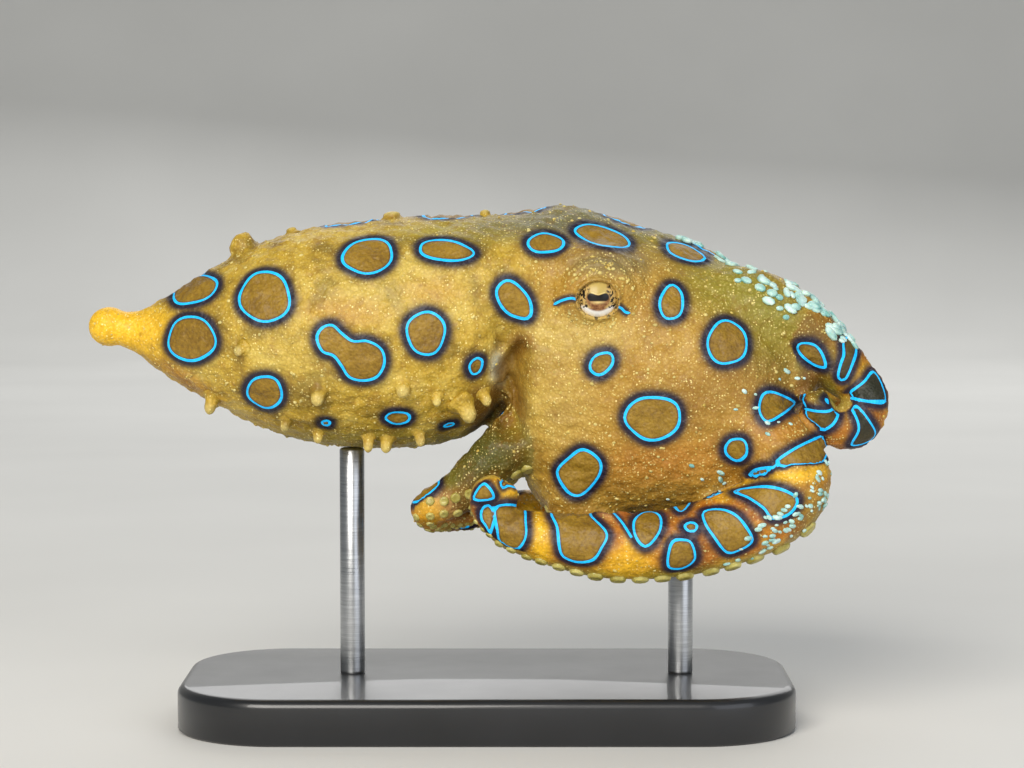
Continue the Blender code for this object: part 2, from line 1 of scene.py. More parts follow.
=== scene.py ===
"""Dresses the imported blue-ringed octopus for display.

One skin goes over all its flesh: the mantle, head, crown and arms are lofted as closed shells,
fused by a voxel surface and smoothed, and each point of that skin then learns how far it is
from the outline of a blue ring. Shapes are worked out in millimetres.
"""

import math

import bmesh
import bpy
import numpy as np
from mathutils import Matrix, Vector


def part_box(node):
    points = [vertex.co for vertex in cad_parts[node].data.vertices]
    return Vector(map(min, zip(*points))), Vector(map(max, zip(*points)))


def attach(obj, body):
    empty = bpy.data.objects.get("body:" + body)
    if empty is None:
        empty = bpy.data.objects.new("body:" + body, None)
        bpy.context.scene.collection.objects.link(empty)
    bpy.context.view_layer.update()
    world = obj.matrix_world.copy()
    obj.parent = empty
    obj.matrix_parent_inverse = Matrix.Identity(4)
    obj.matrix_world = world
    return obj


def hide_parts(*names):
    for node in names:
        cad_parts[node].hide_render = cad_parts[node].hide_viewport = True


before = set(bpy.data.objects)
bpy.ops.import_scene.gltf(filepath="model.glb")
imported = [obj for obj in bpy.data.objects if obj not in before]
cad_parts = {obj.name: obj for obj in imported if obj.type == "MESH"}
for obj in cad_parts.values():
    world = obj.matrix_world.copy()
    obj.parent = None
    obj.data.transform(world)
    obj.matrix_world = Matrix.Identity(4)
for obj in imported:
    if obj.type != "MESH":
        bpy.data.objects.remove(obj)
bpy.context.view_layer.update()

MM = 0.001
RIGHT, LEFT = -1.0, 1.0
SIDES = ((RIGHT, "right"), (LEFT, "left"))

# The camera, and the upright picture plane through its target, on which markings are placed.
TARGET = np.array([2.2, 0.0, 29.8])
CAMERA_AWAY = 252.0
CAMERA_LIFT = math.radians(4.0)
FORWARD = np.array([0.0, math.cos(CAMERA_LIFT), -math.sin(CAMERA_LIFT)])
UPWARD = np.array([0.0, math.sin(CAMERA_LIFT), math.cos(CAMERA_LIFT)])
LENS, SENSOR = 100.0, 36.0

# Stations of the mantle from the tail to its front edge, and then back into its opening:
# x, top z, bottom z, half width.
MANTLE = [
    (-34.2, 35.6, 34.2, 0.7), (-32.4, 36.2, 33.2, 1.6), (-30.8, 36.3, 32.4, 1.9),
    (-28.7, 37.3, 30.8, 3.2), (-25.0, 39.6, 28.6, 5.6), (-20.0, 42.2, 26.1, 7.9),
    (-15.5, 43.6, 24.7, 9.2), (-10.8, 44.2, 24.2, 9.9), (-5.9, 44.6, 24.3, 10.1),
    (-1.8, 44.7, 25.3, 9.8), (0.1, 44.6, 26.7, 9.25), (0.7, 44.0, 27.9, 8.3),
    (0.2, 43.2, 29.0, 7.3), (-1.6, 42.6, 29.2, 6.9), (-3.4, 41.0, 31.0, 5.0),
]
MANTLE_OUTSIDE = MANTLE[:12]
# The head and the crown of arm bases in front of it.
HEAD_AND_CROWN = [
    (0.9, 44.6, 30.0, 7.2), (2.3, 44.9, 27.4, 7.6), (3.1, 45.1, 22.6, 8.2),
    (4.6, 45.3, 19.4, 8.8), (7.0, 45.6, 18.2, 9.4), (10.0, 44.9, 17.8, 9.9),
    (14.4, 43.5, 17.7, 10.4), (18.8, 42.0, 18.0, 10.8), (22.4, 39.8, 20.0, 10.1),
    (25.2, 37.4, 23.4, 8.4), (27.2, 34.8, 26.8, 5.6), (28.0, 32.4, 29.6, 2.0),
]
# The nape, which carries the skin from mantle to head, and the neck inside the opening.
NAPE = [
    (-6.0, 43.6, 33.6, 8.4), (-3.0, 44.5, 33.6, 9.25), (0.0, 44.7, 33.6, 9.2),
    (3.0, 45.0, 33.6, 8.9), (5.5, 45.2, 33.4, 8.4), (8.5, 44.4, 33.4, 7.4),
]
NECK = [(-6.0, 40.0, 31.0, 4.0), (-2.0, 40.0, 29.0, 5.6), (2.0, 40.0, 27.4, 6.2),
        (6.5, 40.0, 25.0, 6.6)]
LOWER_FULLNESS = 0.65
NAPE_FULLNESS = 0.35
NECK_HOLLOW = 1.7           # how deep the neck lies between mantle and head, at its sides
BOWL = ((13.2, 0.0, 17.4), (8.0, 5.6, 5.4))
FUNNEL = ((2.5, 0.0, 28.6), (0.9, 0.0, 24.2))
VALVE = ((1.0, 6.9, 31.9), (0.9, 0.9, 1.7))   # the funnel's flap in the neck
WEB = ((26.4, 5.4, 30.6), (2.3, 2.2, 2.6))    # between the first two arms and the crown
ROLL = ((1.35, 10.1, 20.8), (1.4, 1.1, 1.4))  # the rolled-up end of each second arm
EYE = (9.5, 8.3, 37.9)
EYE_RADIUS = 2.1
EYE_OUTSIDE = 6.0           # skin further than this from the middle plane may be an eye's
LIDS = (0.0, -0.2, 1.62, 1.5)   # the opening of the lids: its middle and half sizes, from the eye's
MOUND = ((9.4, 6.9, 38.3), (4.7, 3.3, 4.4))
TAIL_KNOB = ((-33.4, 0.0, 34.9), (1.85, 1.7, 1.75))
DORSAL_KNOB = ((-21.5, 0.0, 41.6), (1.25, 1.25, 1.6))

# Skin papillae of the mantle: x, z, radius, length.
PAPILLAE = [
    (-24.0, 28.8, 0.50, 1.4), (-17.4, 26.9, 0.40, 0.9), (-14.6, 25.9, 0.40, 0.9),
    (-10.4, 25.5, 0.42, 1.3), (-8.8, 25.4, 0.47, 1.2), (-6.0, 25.9, 0.42, 1.2),
    (-14.4, 29.6, 0.55, 1.3), (-7.0, 30.3, 0.55, 1.2), (-1.9, 28.5, 0.68, 1.6),
    (-0.3, 29.4, 0.45, 1.1), (-20.9, 33.4, 0.42, 0.9), (-4.3, 29.3, 0.35, 0.8),
]
BACK_PAPILLAE = [(-17.2, 0.45, 0.5), (-8.4, 0.75, 0.7), (-0.3, 0.45, 0.65)]

SUCKER_PITCH = 0.56         # along a row, in arm radii
SUCKER_PITCH_LEAST = 0.66
SUCKER_SHARE = 0.2          # of the arm's radius
SUCKER_LEAST = 0.17
# Between which shares of each arm's length its suckers show: they start where it leaves the
# crown, and two arms are rolled too tightly at their ends.
SUCKERS_FROM = {"arm_1": 0.12, "arm_2": 0.36, "arm_3": 0.12, "arm_4": 0.34}
ROLLED = {"arm_1": 0.55, "arm_2": 0.92, "arm_3": 0.985, "arm_4": 0.985}
ORAL_FLAT = 0.84            # how far the sucker side reaches, against the other sides
ROW_ANGLE = math.radians(27)


def coil(middle, radius, shrink, start, sweep, drift, count=9):
    """Points of a flat spiral in a plane of constant y, with a slow drift in y.

    The point at turn angle a lies at middle + r(a) * (cos a, sin a) in x and z, where r falls
    evenly from radius to radius * shrink over the sweep. Angles are in degrees.
    """
    share = np.linspace(0.0, 1.0, count)
    angle = np.radians(start + sweep * share)
    reach = radius * (1.0 - (1.0 - shrink) * share)
    return np.column_stack([
        middle[0] + reach * np.cos(angle),
        middle[1] + drift * share,
        middle[2] + reach * np.sin(angle),
    ])


# Each arm of the right side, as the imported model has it: the way of its centre line up to its
# coil; the coil; radii at shares of the length; and the turn of the suckers about the line.
ARMS = {
    "arm_1": {
        "way": [(15.0, -3.0, 35.8), (19.5, -3.9, 36.9), (23.8, -4.6, 36.4), (27.2, -5.1, 34.8)],
        "coil": ((30.5, -5.5, 28.8), 2.15, 0.92, 72, -275, -3.3, 11),
        "end": [],
        "radius": [(0, 2.4), (0.12, 3.8), (0.3, 3.5), (0.44, 2.8), (0.54, 2.55), (0.63, 2.5),
                   (0.69, 2.0), (0.76, 2.15), (0.83, 2.3), (0.88, 1.85), (0.92, 1.55),
                   (0.955, 1.6), (0.985, 1.3), (1, 0.6)],
        "turn": [(0, 165), (1, 180)],
        "free": 0.30,
    },
    "arm_2": {
        "way": [(15.5, -3.6, 30.2), (20.6, -6.1, 27.6), (25.0, -8.2, 24.9), (26.4, -9.3, 22.1),
                (24.6, -9.6, 19.5), (20.0, -10.1, 17.6), (15.0, -10.3, 16.6), (9.7, -10.3, 16.5),
                (5.2, -10.2, 17.2), (1.9, -10.0, 18.0)],
        "coil": ((0.75, -9.9, 20.35), 1.5, 0.9, 232, -132, -0.6, 6),
        "end": [(1.6, -10.8, 21.75)],
        "radius": [(0, 2.4), (0.1, 4.2), (0.24, 3.75), (0.45, 3.4), (0.6, 3.15), (0.68, 3.05),
                   (0.8, 2.3), (0.86, 1.8), (0.9, 1.2), (0.925, 0.9), (0.94, 0.95),
                   (0.955, 1.25), (0.97, 1.42), (0.985, 1.25), (0.995, 0.85), (1, 0.4)],
        "turn": [(0, 80), (0.12, 60), (0.26, 10), (1, 0)],
        "free": 0.24,
    },
    "arm_3": {
        "way": [(10.6, -3.6, 30.0), (8.4, -4.3, 26.4), (7.4, -4.6, 22.8), (8.2, -4.6, 19.0),
                (11.6, -4.5, 16.4)],
        "coil": ((15.4, -4.4, 17.8), 1.9, 0.42, -100, 300, 0.5, 10),
        "end": [],
        "radius": [(0, 2.2), (0.2, 3.2), (0.35, 3.1), (0.47, 2.6), (0.65, 1.9), (0.8, 1.2),
                   (1, 0.4)],
        "turn": [(0, 90), (0.35, 120), (0.5, 170), (1, 180)],
        "free": 0.38,
    },
    "arm_4": {
        "way": [(9.6, -2.9, 29.2), (5.8, -3.9, 27.2), (2.5, -4.7, 24.9), (-0.1, -4.8, 22.6),
                (-2.8, -4.8, 20.3)],
        "coil": ((-4.2, -4.8, 18.8), 1.0, 0.9, 145, 125, 2.3, 5),
        "end": [(-1.9, -2.1, 18.0), (0.3, -2.0, 18.5)],
        "radius": [(0, 2.2), (0.2, 3.1), (0.5, 2.3), (0.6, 1.9), (0.7, 1.6), (0.8, 1.15),
                   (1, 0.45)],
        "turn": [(0, 20), (0.45, 0), (0.6, -60), (0.75, -110), (1, -180)],
        "free": 0.24,
    },
}
LEFT_SHIFT = {"arm_1": (-0.4, 0.0, -0.9), "arm_2": (-0.8, 0.0, -0.3),
              "arm_3": (0.0, 0.0, 0.0), "arm_4": (0.9, 0.0, -0.6)}

# Markings are placed on the picture plane, in millimetres from the camera's target: x to the
# right and z up. Rings: x, z, half length, half height, tilt in degrees.
RINGS = [
    (-28.04, 8.33, 2.04, 1.06, 22), (-28.39, 3.99, 2.08, 1.95, 0),
    (-21.88, 7.71, 2.21, 2.21, 0), (-21.88, -0.71, 1.55, 1.37, -20),
    (-12.76, 11.34, 2.21, 1.51, 8), (-7.62, 4.52, 1.68, 1.90, 0),
    (-5.85, 11.83, 2.39, 0.89, -6), (0.18, 7.44, 1.95, 1.20, -50),
    (-10.10, -3.01, 1.06, 0.53, 0), (-3.19, 1.59, 0.75, 0.53, 65),
    (-5.58, -3.63, 0.44, 0.14, 15), (-16.48, -3.46, 0.35, 0.22, 0),
    (2.97, 12.49, 1.59, 0.84, 0), (7.97, 13.11, 2.48, 0.80, -15),
    (15.33, 11.69, 1.77, 0.62, -20), (14.13, 7.22, 1.51, 1.02, 85),
    (7.93, 1.82, 1.15, 0.84, 40), (19.05, 3.66, 1.90, 1.73, 90),
    (12.49, -3.01, 2.44, 1.90, 0), (19.89, -5.80, 0.97, 0.97, 0),
]
# Rings of the back: x and y of the middle, half length, half width, tilt.
BACK_RINGS = [(-12.0, 0.4, 2.3, 2.0, 10), (-3.6, -0.2, 2.2, 1.9, -15), (3.4, 0.3, 1.8, 1.6, 5),
              (12.2, 0.2, 1.9, 2.1, 0), (19.6, -0.3, 1.6, 1.5, 30)]
# Uneven patches, by the skin they belong to: their outlines, drawn smooth through the points.
PATCHES = {
    "arm_1": [
        [(25.3, 3.2), (25.6, 3.6), (26.7, 3.5), (27.4, 2.8), (27.8, 1.6), (27.3, 1.5), (26.6, 1.8),
         (25.7, 2.5)],
        [(29.4, 3.9), (29.4, 2.6), (29.1, 1.7), (28.9, 0.6), (29.5, 0.4), (30.1, 1.6), (30.5, 3.0),
         (30.1, 4.1)],
        [(29.8, -1.0), (31.2, 0.2), (32.0, 1.1), (32.8, -0.1), (33.0, -1.6), (31.3, -1.5)],
        [(30.0, -1.9), (30.6, -3.2), (30.7, -4.2), (30.1, -5.4), (31.4, -5.2), (32.2, -4.4),
         (31.6, -3.2), (30.7, -2.1)],
        [(25.9, -2.3), (26.0, -3.3), (26.8, -4.0), (27.6, -4.1), (28.5, -3.5), (28.9, -2.6),
         (28.8, -1.9), (28.1, -2.4), (26.9, -2.4)],
        [(27.8, -1.4), (28.1, -1.1), (28.4, -1.4), (28.1, -1.7)],
    ],
    "arm_2": [
        [(13.4, -9.1), (14.6, -8.4), (15.7, -8.2), (16.3, -8.9), (16.2, -9.6), (15.8, -10.3),
         (14.5, -9.9), (13.5, -9.6)],
        [(13.8, -9.7), (15.8, -10.1), (14.9, -11.3)],
        [(15.3, -12.6), (15.6, -12.3), (16.1, -12.3), (16.4, -12.6), (16.2, -13.0), (15.6, -13.0)],
        [(11.9, -14.4), (11.0, -13.6), (10.8, -12.2), (11.6, -11.4), (12.7, -11.4), (13.2, -12.0),
         (13.0, -13.2)],
        [(14.2, -14.0), (13.8, -15.5), (14.0, -16.3), (15.2, -16.3), (16.2, -15.5), (15.9, -14.1),
         (15.1, -13.8)],
        [(17.0, -11.3), (18.5, -11.1), (19.8, -11.6), (20.7, -12.6), (21.3, -13.9), (20.2, -14.7),
         (19.0, -14.9), (17.8, -13.4), (17.1, -12.3)],
        [(19.7, -9.5), (21.0, -9.2), (22.7, -9.1), (24.3, -9.5), (25.3, -10.3), (24.6, -11.5),
         (23.1, -11.9), (22.3, -11.0), (21.0, -10.1)],
        [(3.6, -11.2), (4.0, -12.7), (4.3, -14.9), (5.1, -15.6), (6.2, -15.8), (7.3, -15.5),
         (8.0, -14.4), (8.4, -13.6), (8.2, -12.9), (7.1, -11.8), (6.5, -11.2)],
        [(-1.4, -10.9), (-1.3, -12.9), (-1.1, -13.9), (-0.4, -14.4), (0.5, -14.6), (1.2, -13.6),
         (1.2, -12.2), (0.9, -10.9)],
        [(-2.2, -10.7), (-1.7, -11.2), (-1.6, -11.9), (-1.9, -13.2), (-2.3, -12.6), (-2.7, -12.0),
         (-2.7, -11.2)],
        [(-1.1, -11.0), (-0.6, -10.8), (0.0, -11.0), (-0.5, -11.2)],
        [(-2.5, -8.8), (-3.4, -10.2), (-1.6, -10.1)],
    ],
    "arm_4": [
        [(-6.7, -7.6), (-6.5, -8.7), (-6.7, -9.1), (-7.6, -9.9), (-8.3, -10.4), (-9.2, -10.3),
         (-8.5, -8.9)],
    ],
    "body": [
        [(-17.3, 4.1), (-16.8, 5.0), (-15.9, 5.2), (-15.1, 4.5), (-14.1, 3.8), (-12.8, 3.8),
         (-11.6, 3.1), (-11.3, 1.9), (-11.9, 0.7), (-13.1, 0.3), (-14.4, 0.6), (-15.1, 1.6),
         (-15.8, 2.5), (-16.8, 2.9)],
        [(4.0, -7.8), (5.0, -6.6), (6.3, -5.8), (7.7, -6.7), (7.8, -7.9), (6.8, -9.3), (5.8, -9.9),
         (4.8, -9.4)],
        [(22.2, -1.0), (22.9, -0.7), (23.9, -1.0), (25.0, -1.6), (24.8, -2.0), (23.9, -2.7),
         (22.8, -3.3), (22.2, -3.0), (21.9, -2.1)],
        [(23.4, -7.0), (24.6, -6.0), (26.3, -5.1), (27.8, -4.6), (28.0, -5.8), (27.3, -7.3),
         (26.5, -7.3), (25.0, -7.4)],
        [(21.0, -8.2), (21.6, -7.6), (23.1, -7.4), (23.0, -7.8), (22.0, -8.1)],
    ],
}
# Blue strokes that enclose nothing.
STROKES = {
    "arm_1": [
        [(29.8, -1.2), (31.3, -1.5), (33.0, -1.5)],
        [(25.9, -1.0), (25.8, -1.5), (26.0, -1.9)],
    ],
    "arm_2": [
        [(7.7, -10.9), (8.8, -11.3), (9.7, -12.2), (10.6, -13.6)],
        [(-0.6, -8.3), (-1.0, -8.7), (-0.8, -9.2), (-0.3, -9.0), (0.4, -9.2)],
    ],
    "body": [
        [(3.8, 7.1), (4.4, 7.4), (5.2, 7.6), (5.7, 7.5)],
        [(9.3, 6.9), (9.7, 6.7), (10.0, 6.4), (10.3, 6.3)],
    ],
}
# Soft tints on the same plane, by tint and the skin they lie on: x, z, half length, half height,
# tilt in degrees, and strength.
TINTS = {
    "amber": {
        "arm_1": [(30.5, 0.5, 1.8, 0.6, 50, 0.9)],
        "arm_2": [(2.5, -13.6, 1.1, 3.7, 3, 1.0), (-0.6, -9.6, 1.8, 1.6, 0, 0.8),
                  (10.3, -16.0, 2.4, 1.8, 0, 0.8), (23.3, -8.6, 5.8, 0.8, 12, 0.95)],
        "arm_4": [(-7.3, -11.2, 1.6, 1.6, 0, 0.5)],
        "body": [(-35.4, 5.2, 3.5, 3.0, 0, 1.0), (-31.2, 4.5, 3.5, 2.3, 5, 0.6)],
    },
    "brown": {
        # Brown at (26.4, 0.4) on the first two arms fills the gap between crown and coil: partly
        # crown skin, partly painted shadow.
        "arm_1": [(26.4, 0.4, 1.6, 1.6, 0, 0.9), (31.4, -0.6, 1.6, 2.4, 0, 0.4)],
        "arm_2": [(26.4, 0.4, 1.6, 1.6, 0, 0.9)],
        # Brown on the fourth arm is partly its own colour and partly painted shade.
        "arm_4": [(-4.4, -11.2, 1.2, 1.6, -30, 0.8)],
        # The body's last two browns darken the top and the bottom of the neck's hollow: painted
        # shade.
        "body": [(22.4, 1.1, 4.0, 1.9, 0, 0.35), (16.2, -1.2, 4.4, 2.4, 0, 0.35),
                 (0.7, 3.6, 1.1, 1.1, 0, 0.9), (-0.4, -2.1, 1.8, 2.1, 0, 0.8)],
    },
    "dark": {
        "arm_1": [(31.3, -1.4, 5.0, 7.0, 0, 1.0)],
    },
    "grey": {
        "body": [(-1.3, 1.5, 0.8, 1.5, 0, 1.0)],
    },
    "lime": {
        "arm_1": [(26.6, 1.6, 2.6, 2.0, 0, 0.8), (27.5, -0.7, 1.6, 1.6, 0, 1.0)],
        "arm_2": [(11.3, -17.2, 13.3, 0.9, 5, 0.6)],
        "arm_4": [(-5.6, -8.3, 1.3, 1.4, -35, 1.0)],
        "body": [(19.3, 8.2, 5.3, 3.0, -35, 0.6), (24.6, 3.0, 2.7, 3.5, -50, 0.5)],
    },
    "moss": {
        "arm_1": [(27.0, 4.4, 2.6, 2.4, -40, 0.7)],
        # Moss on the fourth arm is its own dark olive, deepened by painted shade.
        "arm_4": [(-2.4, -6.2, 5.5, 4.6, 0, 1.0)],
        "body": [(26.8, 2.4, 1.6, 1.6, 0, 0.6)],
    },
    "olive": {
        "arm_2": [(26.8, -12.0, 2.3, 2.7, 0, 0.5)],
        "body": [(-12.6, -5.0, 10.6, 1.1, 0, 0.5), (-3.0, 13.6, 9.0, 1.4, 2, 0.6),
                 (11.3, 14.4, 10.6, 2.6, -12, 0.9), (22.6, 7.4, 5.0, 2.4, -38, 0.9),
                 (17.5, 9.0, 3.5, 3.0, -30, 0.5), (22.0, 3.9, 2.6, 2.6, 0, 0.5)],
    },
    "orange": {
        "arm_1": [(31.7, -2.6, 1.4, 0.8, -15, 0.9), (29.1, -4.1, 1.8, 1.1, 40, 0.9)],
        "arm_2": [(2.7, -16.3, 1.2, 1.2, 0, 0.5), (11.3, -10.7, 1.6, 1.2, 0, 0.6),
                  (21.7, -10.7, 4.0, 0.9, -30, 0.9), (16.7, -14.3, 2.7, 1.9, 0, 0.7)],
        "arm_4": [(-8.2, -12.4, 1.8, 1.9, 0, 0.9)],
        "body": [(-29.0, 0.5, 3.5, 0.8, -32, 0.5), (-14.8, 6.3, 3.5, 1.4, 0, 0.35),
                 (-7.1, 8.2, 2.7, 1.2, 0, 0.3), (14.4, -6.9, 8.0, 1.9, 3, 0.5),
                 (24.6, -3.6, 4.0, 1.9, 10, 0.5)],
    },
    "pale": {
        "body": [(-9.9, 8.5, 8.4, 2.8, 0, 0.4), (-18.8, 3.0, 5.3, 3.5, -15, 0.3),
                 (5.6, 4.3, 5.3, 2.3, 0, 0.45), (4.3, -1.4, 3.5, 4.0, 0, 0.3),
                 (1.1, -5.8, 0.8, 4.0, 5, 0.7)],
    },
    "rose": {
        "arm_2": [(7.8, -10.9, 1.9, 0.9, -30, 0.8)],
        "arm_4": [(-6.2, -11.0, 1.1, 1.6, 0, 0.6)],
    },
    # Slate greys the top of the head and over the eye; along the top it is partly painted
    # reflection.
    "slate": {
        "body": [(5.0, 14.3, 7.5, 1.6, 0, 0.9), (8.6, 10.7, 4.0, 1.3, 0, 0.65)],
    },
}
# Up to which share of its length each arm looks like the crown that it comes from.
ROOT_END = {"arm_1": 0.42, "arm_2": 0.3, "arm_3": 0.45, "arm_4": 0.15}
# Up to which share the rows of patches go that the photo doesn't show.
PATCHED_TO = {"arm_1": 0.45, "arm_2": 0.74, "arm_3": 0.97, "arm_4": 0.97}
FAR = 3.0                   # a distance to an outline that no marking reaches, in mm

SKIN_VOXEL = 0.316
EYE_FINE = 3.3              # how far round an eye the skin is made finer
# The remesh is evened out by a few rounds of a step towards the neighbours' mean and one back,
# which keep its size: each is a share of the way, and how often.
EVENING_ROUNDS = 4
EVEN_OUT, EVEN_BACK = (0.5, 1), (-0.52, 1)
JOIN_REACH = 0.9            # how far from a join the skin is smoothed, in mm
JOIN_ROUNDS, EYE_ROUNDS = 40, 12
FILL_REACH = 1.6            # how far a ring's shade and halo reach, in mm
ROUGH = [(0.05, 1.3, 5), (0.03, 0.8, 6)]      # unevenness: height, wavelength and seed
GRANULES = 3000
GRANULE_LEAST, GRANULE_MORE = 0.06, 0.12      # radii, in mm


def unit(vectors):
    """The same vectors at length 1; one that has no length stays so."""
    return vectors / np.maximum(np.linalg.norm(vectors, axis=-1, keepdims=True), 1e-12)


def smooth_step(value, low, high):
    """0 below low and 1 above high, with a soft S between."""
    t = np.clip((value - low) / (high - low), 0.0, 1.0)
    return t * t * (3.0 - 2.0 * t)


def hill(value, middle, width):
    """1 at the middle, falling away on both sides like a bell."""
    return np.exp(-(((value - middle) / width) ** 2))


def smooth_line(points, values):
    """Catmull-Rom curve through points, read at values, which count the points from 0."""
    points = np.asarray(points, float)
    ends = np.vstack([2 * points[0] - points[1], points, 2 * points[-1] - points[-2]])
    at = np.clip(values, 0, len(points) - 1)
    first = np.minimum(at.astype(int), len(points) - 2)
    t = (at - first)[:, None]
    a, b, c, d = (ends[first + k] for k in range(4))
    return 0.5 * (2 * b + (c - a) * t + (2 * a - 5 * b + 4 * c - d) * t**2
                  + (3 * b - a - 3 * c + d) * t**3)


def outward(points, quads, triangles):
    """The same closed surface, turned so that its volume counts as positive."""
    corners = np.vstack([triangles, quads[:, :3], quads[:, [0, 2, 3]]])
    a, b, c = (points[corners[:, k]] for k in range(3))
    if (a * np.cross(b, c)).sum() < 0:
        return points, quads[:, ::-1], triangles[:, ::-1]
    return points, quads, triangles


def closed_rings(rings, first_tip, last_tip):
    """Quads between neighbouring rings of points, and a fan of triangles at each tip."""
    count, sides = rings.shape[:2]
    here = np.arange(count - 1)[:, None] * sides + np.arange(sides)
    beside = np.arange(count - 1)[:, None] * sides + (np.arange(sides) + 1) % sides
    quads = np.stack([here, beside, beside + sides, here + sides], axis=2).reshape(-1, 4)
    edge = np.arange(sides)
    following = (edge + 1) % sides
    tip = np.full(sides, count * sides)
    last = (count - 1) * sides
    fans = [np.column_stack([following, edge, tip]),
            np.column_stack([last + edge, last + following, tip + 1])]
    points = np.vstack([rings.reshape(-1, 3), [first_tip, last_tip]])
    return outward(points, quads, np.vstack(fans))


def joined(surfaces):
    """Several surfaces as one."""
    start, points, quads, triangles = 0, [], [], []
    for surface in surfaces:
        points.append(surface[0])
        quads.append(surface[1] + start)
        triangles.append(surface[2] + start)
        start += len(surface[0])
    return np.vstack(points), np.vstack(quads), np.vstack(triangles)


def loft(stations, sides, rings, fullness=1.0):
    """A body with elliptical sections through the stations along x.

    A fullness below 1 makes the lower half wider: its width is raised to that power.
    """
    stations = np.asarray(stations, float)
    changes = np.abs(np.diff(stations, axis=0))
    spans = changes[:, 0] + 0.35 * changes[:, 1:].max(axis=1)
    along = np.concatenate([[0], np.cumsum(spans)])
    wanted = np.linspace(0, along[-1], rings)
    read = smooth_line(stations, np.interp(wanted, along, np.arange(len(stations))))
    angle = (np.arange(sides) + 0.5) * 2 * math.pi / sides
    x, top, bottom, half = (read[:, k][:, None] for k in range(4))
    wide = np.abs(np.sin(angle)) ** np.where(np.cos(angle) < 0, fullness, 1.0)
    points = np.stack([
        np.broadcast_to(x, (rings, sides)),
        half * wide * np.sign(np.sin(angle)),
        (top + bottom) / 2 + (top - bottom) / 2 * np.cos(angle),
    ], axis=2)
    return closed_rings(points, points[0].mean(axis=0), points[-1].mean(axis=0))


def turned_form(profile, sides):
    """A closed turned shape about +Z: rings of (height, radius) between two end points."""
    turn = np.linspace(0, 2 * math.pi, sides, endpoint=False)
    rings = np.array([
        np.column_stack([radius * np.cos(turn), radius * np.sin(turn), np.full(sides, height)])
        for height, radius in profile[1:-1]])
    return closed_rings(rings, (0, 0, profile[0][0]), (0, 0, profile[-1][0]))


def ellipsoid(middle, radii, sides=32, rings=16):
    """An ellipsoid, turned about its z axis and stretched."""
    tilt = np.linspace(0, math.pi, rings + 2)
    points, quads, triangles = turned_form(list(zip(np.cos(tilt), np.sin(tilt))), sides)
    return points * radii + middle, quads, triangles


def arm_line(arm, count=400):
    """The arm's centre line at even steps, with its length, radius and frames at each."""
    points = np.vstack([arm["way"], coil(*arm["coil"]), *[[p] for p in arm["end"]]])
    rough = smooth_line(points, np.linspace(0, len(points) - 1, 4 * count))
    steps = np.concatenate([[0], np.cumsum(np.linalg.norm(np.diff(rough, axis=0), axis=1))])
    shares = np.linspace(0, 1, count)
    line = np.column_stack([np.interp(shares * steps[-1], steps, rough[:, k]) for k in range(3)])
    smooth = np.ones(9) / 9
    padded = np.vstack([2 * line[0] - line[4:0:-1], line, 2 * line[-1] - line[-2:-6:-1]])
    line = np.column_stack([np.convolve(padded[:, k], smooth, mode="valid") for k in range(3)])
    tangent = unit(np.gradient(line, axis=0))
    step = np.linalg.norm(np.gradient(line, axis=0), axis=1, keepdims=True)
    outer = unit(np.column_stack([-tangent[:, 2], np.zeros(count), tangent[:, 0]]))
    angle = np.radians(np.interp(shares, *zip(*arm["turn"])))[:, None]
    oral = np.cos(angle) * outer + np.sin(angle) * np.array([0.0, 1.0, 0.0])
    oral = unit(oral - (oral * tangent).sum(axis=1, keepdims=True) * tangent)
    return {"shares": shares, "length": steps[-1], "line": line, "tangent": tangent,
            "radius": np.interp(shares, *zip(*arm["radius"])),
            "bend": np.gradient(tangent, axis=0) / step, "oral": oral, "free": arm["free"]}


def every_arm():
    """The runs of all eight arms, named: the left ones are mirrored and a little moved."""
    runs = {}
    for side, side_name in SIDES:
        for name, arm in ARMS.items():
            run = arm_line(arm)
            shift = LEFT_SHIFT[name] if side == LEFT else (0.0, 0.0, 0.0)
            flip = np.array([1.0, -side, 1.0])
            run["line"] = (run["line"] + np.array(shift)) * flip
            for key in ("tangent", "bend", "oral"):
                run[key] = run[key] * flip
            run.update(arm=name, side=side, shift=np.array(shift))
            runs[f"{name}_{side_name}"] = run
    return runs


def read_at(run, key, shares):
    """A run's values at any shares of its length, in straight steps between its own."""
    value = run[key]
    if value.ndim == 1:
        return np.interp(shares, run["shares"], value)
    return np.column_stack([np.interp(shares, run["shares"], value[:, k]) for k in range(3)])


def section_reach(run, shares, angle):
    """How far the skin stands from the centre line at an angle from the back of the arm.

    It is the radius, a little less on the sucker side, and never so far into the inside of a
    bend that neighbouring cross sections would meet.
    """
    oral, tangent = unit(read_at(run, "oral", shares)), unit(read_at(run, "tangent", shares))
    side = np.cross(tangent, oral)
    way = (-np.cos(angle)[None, :, None] * oral[:, None]
           + np.sin(angle)[None, :, None] * side[:, None])
    flat = 1.0 - (1.0 - ORAL_FLAT) * np.clip(-np.cos(angle), 0, 1)[None, :]
    reach = read_at(run, "radius", shares)[:, None] * flat
    into_bend = (way * read_at(run, "bend", shares)[:, None]).sum(axis=2)
    return way, np.minimum(reach, 0.86 / np.maximum(into_bend, 1e-6))


def arm_tube(run, sides=28, step=0.4):
    """The arm's whole skin, closed at its root and at its tip."""
    shares = np.linspace(0.0, 0.998, int(run["length"] / step))
    angle = np.linspace(0, 2 * math.pi, sides, endpoint=False)
    way, reach = section_reach(run, shares, angle)
    middle = read_at(run, "line", shares)
    rings = middle[:, None] + way * reach[:, :, None]
    end = run["line"][-1] + run["tangent"][-1] * 0.15
    return closed_rings(rings, run["line"][0], end)


